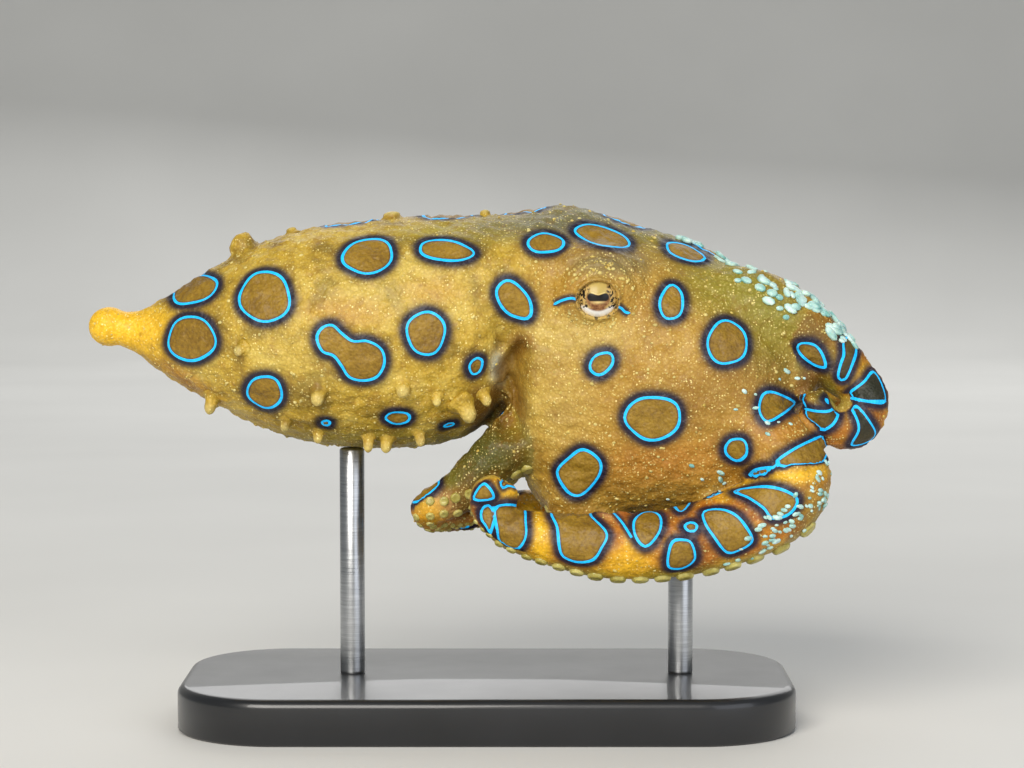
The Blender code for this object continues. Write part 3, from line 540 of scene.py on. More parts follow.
def carve_bowl(surface):
    """Lifts the underside of the crown to an ellipsoid's roof round the mouth."""
    points = surface[0]
    (x, _, z), radii = BOWL
    left = 1.0 - ((points[:, 0] - x) / radii[0]) ** 2 - (points[:, 1] / radii[1]) ** 2
    roof = z + radii[2] * np.sqrt(np.maximum(left, 0.0))
    under = (left > 0) & (points[:, 2] < 30.0)
    points[under, 2] = np.maximum(points[under, 2], roof[under])
    return surface


def mesh_of(name, points, quads, triangles, scale=MM):
    """A smooth mesh of points, four-sided faces and triangles."""
    mesh = bpy.data.meshes.new(name)
    mesh.from_pydata(np.asarray(points) * scale, [], [*quads.tolist(), *triangles.tolist()])
    mesh.shade_smooth()
    mesh.validate()
    return mesh


def put(name, surface, look, attributes=None, scale=MM):
    """An object at the origin with the surface as its mesh, its look and point attributes."""
    mesh = mesh_of(name, *surface, scale=scale)
    for key, values in (attributes or {}).items():
        made = mesh.attributes.new(key, "FLOAT", "POINT")
        made.data.foreach_set("value", np.asarray(values, np.float32))
    if look:
        mesh.materials.append(look)
    obj = bpy.data.objects.new(name, mesh)
    bpy.context.scene.collection.objects.link(obj)
    return obj


def points_of(mesh):
    """The places of a mesh's points."""
    flat = np.empty(len(mesh.vertices) * 3, np.float32)
    mesh.vertices.foreach_get("co", flat)
    return flat.reshape(-1, 3).astype(float)


def faces_of(mesh):
    """Quads and triangles of a mesh that has nothing else."""
    sizes = np.empty(len(mesh.polygons), np.int32)
    mesh.polygons.foreach_get("loop_total", sizes)
    corners = np.empty(len(mesh.loops), np.int32)
    mesh.loops.foreach_get("vertex_index", corners)
    starts = np.concatenate([[0], np.cumsum(sizes)[:-1]])
    quads = corners[starts[sizes == 4][:, None] + np.arange(4)]
    triangles = corners[starts[sizes == 3][:, None] + np.arange(3)]
    return quads, triangles


def edges_of(quads, triangles):
    """Each edge once, as pairs of point numbers."""
    pairs = np.vstack([quads[:, [k, (k + 1) % 4]] for k in range(4)]
                      + [triangles[:, [k, (k + 1) % 3]] for k in range(3)])
    return np.unique(np.sort(pairs, axis=1), axis=0)


def normals_of(points, quads, triangles):
    """Point normals: the sum of the area normals of the faces round each point."""
    total = np.zeros_like(points)
    for faces, (a, b, c, d) in ((quads, (0, 2, 1, 3)), (triangles, (0, 1, 0, 2))):
        area = np.cross(points[faces[:, b]] - points[faces[:, a]],
                        points[faces[:, d]] - points[faces[:, c]])
        for corner in faces.T:
            for axis in range(3):
                total[:, axis] += np.bincount(corner, area[:, axis], len(points))
    return unit(total)


def neighbour_mean(values, edges):
    """The mean of each point's neighbours."""
    count = np.bincount(edges.ravel(), minlength=len(values)).astype(float)
    count = np.maximum(count, 1.0)
    if values.ndim == 1:
        total = (np.bincount(edges[:, 0], values[edges[:, 1]], len(values))
                 + np.bincount(edges[:, 1], values[edges[:, 0]], len(values)))
        return total / count
    return np.column_stack([neighbour_mean(values[:, k], edges) for k in range(values.shape[1])])


def relax(points, edges, share, rounds):
    """Moves each point by that share of the way to the mean of its neighbours."""
    share = np.asarray(share, float)
    share = share[:, None] if share.ndim and points.ndim > 1 else share
    for _ in range(rounds):
        points = points + share * (neighbour_mean(points, edges) - points)
    return points


def fused(surface, voxel):
    """One closed surface round all the shells, by a voxel remesh, in millimetres."""
    obj = put("fusing", surface, None, scale=1.0)
    modifier = obj.modifiers.new("fuse", "REMESH")
    modifier.mode = "VOXEL"
    modifier.voxel_size = voxel
    graph = bpy.context.evaluated_depsgraph_get()
    mesh = bpy.data.meshes.new_from_object(obj.evaluated_get(graph))
    bpy.data.objects.remove(obj)
    return mesh


def finer_round_eyes(mesh):
    """Divides the skin's faces near each eye into three by three."""
    shaped = bmesh.new()
    shaped.from_mesh(mesh)
    x, _, z = EYE
    near = {v for v in shaped.verts
            if abs(v.co.y) > EYE_OUTSIDE and math.hypot(v.co.x - x, v.co.z - z) < EYE_FINE}
    edges = [e for e in shaped.edges if e.verts[0] in near and e.verts[1] in near]
    bmesh.ops.subdivide_edges(shaped, edges=edges, cuts=2, use_grid_fill=True)
    bmesh.ops.triangulate(shaped, faces=[f for f in shaped.faces if len(f.verts) > 4])
    shaped.to_mesh(mesh)
    shaped.free()
    return mesh


def outside_of(stations, points, fullness=1.0):
    """About how far points stand outside a loft, in millimetres; less than 0 inside it.

    With s a point's distance from the middle of its section, 1 on the outline, it is (s - 1)
    times the section's smaller half size, and what the point lies beyond the ends.
    """
    stations = np.asarray(stations, float)
    x, top, bottom, half = stations.T
    at = np.clip(points[:, 0], x[0], x[-1])
    top, bottom, half = (np.interp(at, x, column) for column in (top, bottom, half))
    high = (top - bottom) / 2
    across = np.abs(points[:, 1]) / half
    up = (points[:, 2] - (top + bottom) / 2) / high
    power = np.where(up < 0, 2.0 / fullness, 2.0)
    size = np.sqrt(across**power + up**2)
    return (size - 1.0) * np.minimum(half, high) + np.abs(points[:, 0] - at)


def outside_of_ellipsoid(middle, radii, points):
    """The same for an ellipsoid: (s - 1) times its least radius, with s counted in radii."""
    size = np.linalg.norm((points - np.asarray(middle)) / np.asarray(radii), axis=1)
    return (size - 1.0) * min(radii)


def nearest_arm(points, runs):
    """For each point: how far it stands outside the nearest arm, that arm and its share."""
    best = np.full(len(points), 9.0)
    which = np.full(len(points), -1)
    share = np.zeros(len(points))
    for number, run in enumerate(runs.values()):
        line, radius = run["line"][::2], run["radius"][::2]
        low, high = line.min(axis=0) - 5.5, line.max(axis=0) + 5.5
        close = np.flatnonzero(((points > low) & (points < high)).all(axis=1))
        for part in np.array_split(close, max(1, len(close) // 4000)):
            away = np.linalg.norm(points[part][:, None] - line[None], axis=2) - radius
            nearest = away.argmin(axis=1)
            value = away[np.arange(len(part)), nearest]
            better = value < best[part]
            chosen = part[better]
            best[chosen] = value[better]
            which[chosen] = number
            share[chosen] = run["shares"][::2][nearest[better]]
    return best, which, share


def on_picture(points):
    """Where points show on the picture plane: x to the right, z up, and depth from it."""
    from_target = points - TARGET
    depth = from_target @ FORWARD
    scale = CAMERA_AWAY / (CAMERA_AWAY + depth)
    return np.column_stack([from_target[:, 0] * scale, from_target @ UPWARD * scale]), depth


def ellipse(x, z, length, height, tilt, count=40):
    """Points of an ellipse with a slightly uneven edge, as skin markings have."""
    turn = np.linspace(0, 2 * math.pi, count, endpoint=False)
    uneven = 1.0 + 0.035 * np.sin(3 * turn + 5 * x) + 0.02 * np.sin(5 * turn + 7 * z)
    along, up = length * uneven * np.cos(turn), height * uneven * np.sin(turn)
    c, s = math.cos(math.radians(tilt)), math.sin(math.radians(tilt))
    return np.column_stack([x + c * along - s * up, z + s * along + c * up])


def rounded(points, closed, steps=5):
    """A smooth curve through the corner points of an outline."""
    points = np.asarray(points, float)
    if not closed:
        return smooth_line(points, np.linspace(0, len(points) - 1, steps * len(points)))
    loop = np.vstack([points[-2:], points, points[:2]])
    values = np.linspace(2, len(points) + 2, steps * len(points), endpoint=False)
    return smooth_line(loop, values)


def outline_distance(flat, outline, closed):
    """Signed distance of points to an outline in its plane, and the unit way from it.

    The sign tells inside from outside of a closed outline, and one side of an open line from
    the other. The last value is how far a point lies beyond either end of an open line.
    """
    a = outline if closed else outline[:-1]
    b = np.roll(outline, -1, axis=0) if closed else outline[1:]
    span = b - a
    offset = flat[:, None] - a[None]
    share = np.clip((offset * span).sum(axis=2) / np.maximum((span**2).sum(axis=1), 1e-9), 0, 1)
    gap = offset - share[:, :, None] * span
    distance = np.linalg.norm(gap, axis=2)
    nearest = distance.argmin(axis=1)
    rows = np.arange(len(flat))
    value, way = distance[rows, nearest], unit(gap[rows, nearest])
    beyond = np.zeros(len(flat))
    if closed:
        crosses = (a[None, :, 1] > flat[:, None, 1]) != (b[None, :, 1] > flat[:, None, 1])
        slope = span[:, 0] / np.where(span[:, 1] == 0, 1e-9, span[:, 1])
        at = a[None, :, 0] + (flat[:, None, 1] - a[None, :, 1]) * slope
        inside = (crosses & (flat[:, None, 0] < at)).sum(axis=1) % 2 == 1
        value = np.where(inside, -value, value)
    else:
        line = span[nearest]
        turned = line[:, 0] * way[:, 1] - line[:, 1] * way[:, 0]
        at = share[rows, nearest]
        ends = ((nearest == 0) & (at <= 0)) | ((nearest == len(a) - 1) & (at >= 1))
        beyond = np.where(ends, value, 0.0)
        value = np.where(turned < 0, -value, value)
    return value, way, beyond


class Markings:
    """Collects how far each point of the skin is from an outline, and how it is tinted.

    fill is the signed distance to the nearest closed outline, less than 0 inside it. stroke is
    the distance to one side or the other of an open line, which counts where stroke_on is 1.
    """

    ROUND_OUTLINE = 1.3     # how far round an outline points are measured, in mm
    EDGE_ON = 0.45          # how far past edge-on a marked point may be turned from the view
    BEHIND = 4.0            # how much further off than its front a flat marking may lie, in mm
    STEEPEST = 0.3          # the least cosine of a slope that lines are widened for

    def __init__(self, points, normals):
        self.points, self.normals = points, normals
        self.fill = np.full(len(points), FAR)
        self.stroke = np.full(len(points), FAR)
        self.stroke_on = np.zeros(len(points))
        self.tints = {kind: np.zeros(len(points)) for kind in TINTS}

    def front_rows(self, outline, flat, depth, facing, allowed):
        """The points near the outline that face the view and that nothing stands before."""
        low = outline.min(axis=0) - self.ROUND_OUTLINE
        high = outline.max(axis=0) + self.ROUND_OUTLINE
        inside = ((flat > low) & (flat < high)).all(axis=1)
        rows = np.flatnonzero(allowed & (facing < self.EDGE_ON) & inside)
        front = facing[rows] < 0
        if not front.any():
            return rows[:0]
        reach = np.ptp(outline, axis=0).max()
        core = np.linalg.norm(flat[rows] - outline.mean(axis=0), axis=1) < reach * 0.5 + 0.3
        nearest = depth[rows][core if core.any() else front].min()
        return rows[depth[rows] < nearest + self.BEHIND + reach * 0.6]

    def draw(self, outline, flat, depth, facing, allowed, right, up, closed=True):
        """Draws an outline onto the front of the skin, seen along one direction.

        The distance in the picture is divided by how steeply the skin falls away from the
        view across the line, so that a line keeps its real width on every slope.
        """
        rows = self.front_rows(outline, flat, depth, facing, allowed)
        if not len(rows):
            return
        signed, way, beyond = outline_distance(flat[rows], outline, closed)
        space = way[:, :1] * right + way[:, 1:] * up
        slope = (space * self.normals[rows]).sum(axis=1)
        signed = signed / np.maximum(np.sqrt(1 - np.minimum(slope**2, 0.999)), self.STEEPEST)
        if closed:
            self.fill[rows] = np.minimum(self.fill[rows], signed)
            return
        here = np.abs(signed) < np.abs(self.stroke[rows])
        near = rows[here]
        self.stroke[near] = signed[here]
        on = (1 - smooth_step(np.abs(signed), 0.75, 1.05)) * (1 - smooth_step(beyond, 0.05, 0.3))
        self.stroke_on[near] = on[here]

    def tint(self, kind, flat, allowed, x, z, length, height, tilt, strength):
        """Adds an oval tint, full in the middle and gone at about 1.4 times its half sizes."""
        c, s = math.cos(math.radians(tilt)), math.sin(math.radians(tilt))
        across, up = flat[:, 0] - x, flat[:, 1] - z
        size = ((across * c + up * s) / length) ** 2 + ((up * c - across * s) / height) ** 2
        amount = strength * np.exp(-size**1.5) * allowed
        self.tints[kind] = 1 - (1 - self.tints[kind]) * (1 - amount)


def linear(code):
    """A colour from its sRGB hex value, as linear red, green, blue and alpha."""
    parts = np.array([(code >> shift & 255) / 255 for shift in (16, 8, 0)])
    parts = np.where(parts <= 0.04045, parts / 12.92, ((parts + 0.055) / 1.055) ** 2.4)
    return (*parts, 1.0)


def per(size):
    """The scale of a pattern whose features repeat every so many millimetres."""
    return 1.0 / (size * MM)


def set_inputs(tree, node, inputs):
    """Links each input to a socket, or gives it its value."""
    for key, value in inputs.items():
        if isinstance(value, bpy.types.NodeSocket):
            tree.links.new(value, node.inputs[key])
        else:
            node.inputs[key].default_value = value


def add_node(tree, kind, inputs, stops=(), **settings):
    """Adds a node with its settings and the stops of its ramp, and sets or links its inputs."""
    node = tree.nodes.new(kind)
    for key, value in settings.items():
        setattr(node, key, value)
    if stops:
        elements = node.color_ramp.elements
        while len(elements) < len(stops):
            elements.new(0.5)
        for element, (at, colour) in zip(elements, stops):
            element.position, element.color = at, colour
    set_inputs(tree, node, inputs)
    return node


# What each word in a look's table stands for: a node, the inputs that the row's values go to in
# turn, and its settings. Any other word is the operation of a Math node.
WORDS = {
    "place": ("ShaderNodeTexCoord", (), {}),
    "attribute": ("ShaderNodeAttribute", (), {}),
    "noise": ("ShaderNodeTexNoise", ("Vector", "Scale", "Detail", "Roughness"), {}),
    "cells": ("ShaderNodeTexVoronoi", ("Vector", "Scale"), {}),
    "stretch": ("ShaderNodeMapping", ("Vector", "Scale"), {}),
    "shift": ("ShaderNodeVectorMath", (0, 1, 2), {"operation": "MULTIPLY_ADD"}),
    "split": ("ShaderNodeSeparateColor", ("Color",), {}),
    "range": ("ShaderNodeMapRange", ("Value", "To Min", "To Max"), {}),
    "step": ("ShaderNodeMapRange", ("Value", "From Min", "From Max", "To Min", "To Max"),
             {"interpolation_type": "SMOOTHSTEP"}),
    "ramp": ("ShaderNodeValToRGB", ("Fac",), {}),
    "mix": ("ShaderNodeMix", (0, 6, 7), {"data_type": "RGBA"}),
    "bump": ("ShaderNodeBump", ("Height", "Strength", "Distance"), {}),
    "pits": ("ShaderNodeBump", ("Height", "Strength", "Distance"), {"invert": True}),
}
# The output that is read where a row names none; of the other nodes it is the first.
OUTPUTS = {"ShaderNodeTexCoord": "Object", "ShaderNodeAttribute": "Fac", "ShaderNodeMix": 2}


def make_look(name, rows, finish):
    """A material from a table of nodes, and what its Principled shader takes.

    A row gives the node's own name, its word and its values, and a ramp's stops after these.
    Text in the place of a value is another node's name, with the output's after a dot, and a
    whole number is the sRGB code of a colour.
    """
    look = bpy.data.materials.new(name)
    look.use_nodes = True
    tree, made = look.node_tree, {}

    def read(value):
        """A row's value as a node takes it: a colour, an earlier node's output, or itself."""
        if isinstance(value, int):
            return linear(value)
        if not isinstance(value, str):
            return value
        key, _, output = value.partition(".")
        return made[key].outputs[output or OUTPUTS.get(made[key].bl_idname, 0)]

    for key, word, *values in [("place", "place"), *rows]:
        math_node = ("ShaderNodeMath", (0, 1), {"operation": word})
        kind, sockets, settings = WORDS.get(word, math_node)
        if word == "attribute":
            settings = {"attribute_name": key}
        inputs = {socket: read(value) for socket, value in zip(sockets, values)}
        stops = [(at, read(code)) for at, code in values[1:]] if word == "ramp" else ()
        made[key] = add_node(tree, kind, inputs, stops, **settings)
    shader = tree.nodes["Principled BSDF"]
    set_inputs(tree, shader, {key: read(value) for key, value in finish.items()})
    return look


# Pigments and reflecting cells of the skin.
OCHRE, GOLD, STRAW = 0x8C7220, 0xBE9C30, 0xD2B654
CROWN_TAN, BLUE, NAVY = 0xA87A2C, 0x12B6FA, 0x0A0C2C
TINT_COLOURS = {
    "pale": 0xD2BC66, "olive": 0x787628, "lime": 0x8E8626, "moss": 0x4E4E16, "slate": 0x6C6C4E,
    "brown": 0x6A4412, "grey": 0xB4B49E, "rose": 0xBE8668, "orange": 0xB6701C, "amber": 0xF8C222,
}
RING_EDGE = 0.05            # how softly a ring's fill ends, in mm


def skin_look():
    """Octopus skin: wet and leathery, with gold reflecting cells between fine granules.

    The eye sees a grainy golden hide, tanner on the crown. Rings are ochre inside, with a bright
    blue line in a soft navy halo; the arms are banded orange and amber, paler on the sucker side.
    Some light is painted in: glints on cells, lit granule tops and shaded feet, shade in the neck's
    hollow, and a glow on the blue lines.
    """
    attributes = ["mark", "stroke", "stroke_on", "line", "warm", "arm", "oral", "recess", "lid",
                  "tip", "dark", *TINT_COLOURS]
    rows = [(key, "attribute") for key in attributes]
    rows += [(key, "noise", "place", per(size), 4.0, 0.6)
             for key, size in (("mottle", 3.2), ("smudge", 1.1), ("fine", 0.34))]
    rows += [
        ("warp", "noise", "place", per(0.5)),
        ("warped", "shift", "warp.Color", (0.3 * MM,) * 3, "place"),
        ("grain", "cells", "warped", per(0.28)),
        ("spark", "cells", "warped", per(0.22)),
        ("chance", "split", "spark.Color"),
        # Ground colour: a mottle of three golds, tanner where it is warm, banded on the arms.
        ("colour", "ramp", "mottle", (0.36, OCHRE), (0.5, GOLD), (0.66, STRAW)),
        ("tanned", "MULTIPLY", "warm", 0.7),
        ("colour", "mix", "tanned", "colour", CROWN_TAN),
        ("bands", "ramp", "mottle", (0.38, 0x9E5414), (0.5, 0xCB7E1C), (0.62, 0xE8B02A)),
        ("colour", "mix", "arm", "colour", "bands"),
        ("colour", "mix", "oral", "colour", 0xA89A48),
        *[("colour", "mix", tint, "colour", over) for tint, over in TINT_COLOURS.items()],
        ("stained", "step", "smudge", 0.5, 0.72, 0.0, 0.42),
        ("colour", "mix", "stained", "colour", 0x85591A),
        # Grain: each granule is lighter on top, partly its own paler colour and partly a painted
        # highlight, and darker round its foot as painted shade; some cells shine with painted
        # glints.
        ("foot", "step", "grain", 0.35, 0.8, 0.0, 0.2),
        ("colour", "mix", "foot", "colour", 0x6E4A12),
        ("top", "step", "grain", 0.05, 0.4, 0.22, 0.0),
        ("colour", "mix", "top", "colour", 0xEAD384),
        ("some", "step", "chance", 0.6, 0.85, 0.0, 1.0),
        ("middle", "step", "spark", 0.18, 0.42, 0.9, 0.0),
        ("shining", "MULTIPLY", "some", "middle"),
        ("clear", "step", "smudge", 0.36, 0.6, 0.25, 1.0),
        ("shining", "MULTIPLY", "shining", "clear"),
        ("colour", "mix", "shining", "colour", 0xFBE998),
        # The rings, from their signed distance in millimetres, and the open strokes.
        ("signed", "SUBTRACT", FAR, "mark"),
        ("away", "ABSOLUTE", "signed"),
        ("across", "ABSOLUTE", "stroke"),
        ("on", "step", "stroke_on", 0.3, 0.6, 0.0, 1.0),
        ("outside", "step", "signed", -RING_EDGE, RING_EDGE, 0.0, 1.0),
        ("shade", "step", "signed", 0.5, 1.5, 0.45, 0.0),
        ("shade", "MULTIPLY", "shade", "outside"),
        ("colour", "mix", "shade", "colour", 0x4A3412),
        ("halo", "step", "signed", 0.34, 1.0, 0.95, 0.0),
        ("halo", "MULTIPLY", "halo", "outside"),
        ("stroke_halo", "step", "across", 0.2, 0.6, 0.85, 0.0),
        ("stroke_halo", "MULTIPLY", "stroke_halo", "on"),
        ("halo", "MAXIMUM", "halo", "stroke_halo"),
        ("colour", "mix", "halo", "colour", NAVY),
        ("even", "ADD", "fine", "mottle"),
        ("even", "MULTIPLY", "even", 0.5),
        ("fill", "ramp", "even", (0.38, 0x765818), (0.5, 0x8C6C1C), (0.62, 0x9E7C24)),
        ("fill", "mix", "dark", "fill", 0x26281A),
        ("inside", "step", "signed", -0.03, 0.05, 1.0, 0.0),
        ("colour", "mix", "inside", "colour", "fill"),
        ("rim", "step", "away", 0.12, 0.34, 0.6, 0.0),
        ("within", "step", "signed", -0.05, 0.02, 1.0, 0.0),
        ("rim", "MULTIPLY", "rim", "within"),
        ("colour", "mix", "rim", "colour", 0x2E1E22),
        # Painted shade: the hollow of the neck between mantle and head is darkened towards brown.
        ("colour", "mix", "recess", "colour", 0x8A6420),
        # The blue line wanders a little in width.
        ("wander", "step", "mottle", 0.3, 0.7, 0.02, -0.035),
        ("edge", "ADD", "away", "wander"),
        ("edge", "step", "edge", 0.075, 0.135, 1.0, 0.0),
        ("shown", "step", "line", 0.4, 0.8, 0.0, 1.0),
        ("edge", "MULTIPLY", "edge", "shown"),
        ("open_line", "step", "across", 0.08, 0.14, 1.0, 0.0),
        ("open_line", "MULTIPLY", "open_line", "on"),
        ("blue", "MAXIMUM", "edge", "open_line"),
        ("colour", "mix", "blue", "colour", BLUE),
        ("lighter", "MULTIPLY", "lid", 0.28),
        ("colour", "mix", "lighter", "colour", 0xD0B468),
        ("specks", "step", "fine", 0.49, 0.57, 0.0, 0.9),
        ("specks", "MULTIPLY", "specks", "lid"),
        ("colour", "mix", "specks", "colour", 0x140D08),
        ("colour", "mix", "tip", "colour", 0xE8DC96),
        ("height", "MULTIPLY", "fine", 0.8),
        ("height", "SUBTRACT", "height", "grain"),
        ("relief", "bump", "height", 0.5, 0.14 * MM),
        # Painted glow: the blue lines emit a little light, so that they stay bright in shade.
        ("glow", "MULTIPLY", "blue", 0.3),
        ("rough", "step", "fine", 0.2, 0.8, 0.4, 0.6),
    ]
    return make_look("octopus_skin", rows, {
        "Base Color": "colour", "Normal": "relief", "Roughness": "rough", "IOR": 1.4,
        "Emission Color": BLUE, "Emission Strength": "glow", "Subsurface Weight": 0.08,
        "Subsurface Radius": (1.0, 0.6, 0.3), "Subsurface Scale": 0.6 * MM,
        "Coat Weight": 0.1, "Coat Roughness": 0.25})


def flesh_look(name, dark, light, rough, depth):
    """Bare wet flesh: a soft mottle between two colours, with a fine grain in relief."""
    grain = 0.3
    rows = [("noise", "noise", "place", per(grain * 4), 4.0),
            ("cells", "cells", "place", per(grain)),
            ("colour", "ramp", "noise", (0.35, dark), (0.65, light)),
            ("relief", "pits", "cells", 0.3, depth * MM)]
    return make_look(name, rows, {
        "Base Color": "colour", "Normal": "relief", "Roughness": rough, "IOR": 1.4,
        "Subsurface Weight": 0.25, "Subsurface Radius": (1.0, 0.7, 0.4),
        "Subsurface Scale": 0.5 * MM, "Coat Weight": 0.2})


def eye_look():
    """An eyeball: a dark slit in a gold and brown iris flecked with black, glassy and wet."""
    rows = [(key, "attribute") for key in ("pupil", "gold", "pale", "upper", "fleck")]
    rows += [("noise", "noise", "place", per(0.24), 3.0),
             ("flecks", "step", "noise", 0.5, 0.56),
             ("flecks", "MULTIPLY", "flecks", "fleck"),
             ("colour", "ramp", "noise", (0.35, 0x6E4020), (0.65, 0xA87848))]
    rows += [("colour", "mix", mask, "colour", over)
             for mask, over in (("upper", 0xB8A058), ("fleck", 0xC2A260), ("gold", 0xF0D890),
                                ("pale", 0xF2F0EA), ("flecks", 0x15100B), ("pupil", 0x060303))]
    return make_look("octopus_eye", rows, {"Base Color": "colour", "Roughness": 0.35, "IOR": 1.38,
                                           "Coat Weight": 0.15, "Coat Roughness": 0.06})


def lacquer_look():
    """Satin black lacquer on the display base: an even coat with a very slight orange peel."""
    rows = [("peel", "noise", "place", per(1.2), 2.0),
            ("relief", "bump", "peel", 0.06, 0.05 * MM),
            ("dust", "noise", "place", per(7.0), 5.0),
            ("rough", "range", "dust", 0.28, 0.42),
            ("colour", "ramp", "dust", (0.3, 0x17181A), (0.7, 0x1E1F22))]
    return make_look("black_satin_lacquer", rows, {
        "Base Color": "colour", "Normal": "relief", "Roughness": "rough", "Coat Weight": 0.35})


def steel_look():
    """Brushed stainless steel rod: fine scratches run round it, as turning leaves them."""
    rows = [("flat", "stretch", "place", (0.06, 0.06, 1.0)),
            ("scratch", "noise", "flat", per(0.12), 3.0),
            ("relief", "bump", "scratch", 0.1, 0.02 * MM),
            ("rough", "range", "scratch", 0.22, 0.4),
            ("colour", "ramp", "scratch", (0.3, 0xA9ABAE), (0.7, 0xC6C8CA))]
    return make_look("brushed_stainless_steel", rows, {
        "Base Color": "colour", "Normal": "relief", "Roughness": "rough", "Metallic": 1.0})


def floor_look():
    """Matt pale paper under the model, with the faintest unevenness of tone."""
    rows = [("noise", "noise", "place", per(60.0)),
            ("colour", "ramp", "noise", (0.3, 0xDDDCD8), (0.7, 0xE3E2DE))]
    return make_look("pale_backdrop_paper", rows, {"Base Color": "colour", "Roughness": 0.85})


def funnel_tube():
    """The funnel: a short turned tube under the neck, open at its lower end."""
    start, end = np.array(FUNNEL)
    length = np.linalg.norm(end - start)
    along, aside = unit(end - start), np.array([0.0, 1.0, 0.0])
    profile = [(0.0, 0), (0.0, 1.7), (0.35, 1.6), (0.75, 1.3), (1.0, 1.2), (0.95, 0.75),
               (0.5, 0.6), (0.5, 0)]
    form = turned_form([(share * length, radius) for share, radius in profile], 32)
    points, quads, triangles = form
    return points @ np.array([aside, np.cross(along, aside), along]) + start, quads, triangles


def flesh_shells(runs):
    """Closed shells of the whole animal but its eyes, papillae and suckers."""
    shells = [loft(MANTLE, 72, 150), carve_bowl(loft(HEAD_AND_CROWN, 96, 150, LOWER_FULLNESS)),
              loft(NAPE, 64, 60, NAPE_FULLNESS), loft(NECK, 48, 40), ellipsoid(*TAIL_KNOB),
              ellipsoid(*DORSAL_KNOB), funnel_tube()]
    for side, side_name in SIDES:
        for ((x, out, z), radii), arm in ((MOUND, ""), (VALVE, ""), (WEB, "arm_1"),
                                          (ROLL, "arm_2")):
            shift = runs[f"{arm}_{side_name}"]["shift"] if arm and side == LEFT else 0.0
            shells.append(ellipsoid(np.array([x, side * out, z]) + shift, radii))
    return joined(shells + [arm_tube(run) for run in runs.values()])


def waves(points, wavelength, seed, count=28):
    """Smooth unevenness: the sum of cosine waves that run in random directions."""
    rng = np.random.default_rng(seed)
    ways = unit(rng.normal(size=(count, 3))) * 2 * math.pi / wavelength
    ways *= rng.uniform(0.7, 1.4, (count, 1))
    shift = rng.uniform(0, 2 * math.pi, count)
    total = sum(np.cos(points @ way + begin) for way, begin in zip(ways, shift))
    return total / math.sqrt(count / 2)


def hollow_neck(points):
    """Draws the skin inwards between the mantle's edge and the head, on both sides.

    It is deepest at the middle of the gap and fades out over about a millimetre at each edge.
    Returns how deep each point is, from 0 to 1.
    """
    x, z = points[:, 0], points[:, 2]
    start = 0.5 + 1.9 * smooth_step(z, 31.5, 34.4)
    deep = smooth_step(x - start, 0.0, 0.8) * (1 - smooth_step(x, 2.5, 4.0))
    deep *= smooth_step(z, 24.8, 26.8) * (1 - smooth_step(z, 33.4, 34.8))
    deep *= smooth_step(np.abs(points[:, 1]), 4.5, 6.5)
    points[:, 1] -= np.sign(points[:, 1]) * NECK_HOLLOW * deep
    return deep


def shape_eyes(points):
    """Sinks the skin behind each eyeball and raises the lids round it.

    With r the distance from the line of sight in lid openings, the skin lies inside the eyeball
    up to the lid's edge, rises over it to a rounded crest, and falls back to the mound; over the
    eye a shallow crease follows an arc.
    """
    x, out, z = EYE
    aside, lower, half, high = LIDS
    lid = np.zeros(len(points))
    for side in (RIGHT, LEFT):
        across, up = points[:, 0] - x, points[:, 2] - z
        facing = side * points[:, 1] > EYE_OUTSIDE
        r = np.hypot(across, up)
        edge = np.hypot((across - aside) / half, (up - lower) / high)
        beyond = (edge - 1.0) * high
        over = np.clip(up / np.maximum(r, 0.1), 0, 1)
        ball = out + np.sqrt(np.maximum(EYE_RADIUS**2 - np.minimum(r, 2.0) ** 2, 0)) - 0.35
        crest = (0.18 + 0.14 * over) * hill(beyond, 0.22, 0.2)
        crease = -0.34 * hill(r, 3.5, 0.2) * smooth_step(up, 1.0, 2.2)
        brow = 0.28 * hill(r, 2.8, 0.4) * smooth_step(up, 0.6, 1.8)
        height = side * points[:, 1] + crest + crease + brow
        height = ball + smooth_step(beyond, -0.1, 0.1) * (height - ball)
        near = facing & (r < 4.6)
        points[near, 1] = side * height[near]
        shade = hill(np.maximum(beyond - 0.1, 0), 0, 0.2) * (1 - 0.8 * over**2)
        lid[near] = shade[near]
    return points, lid


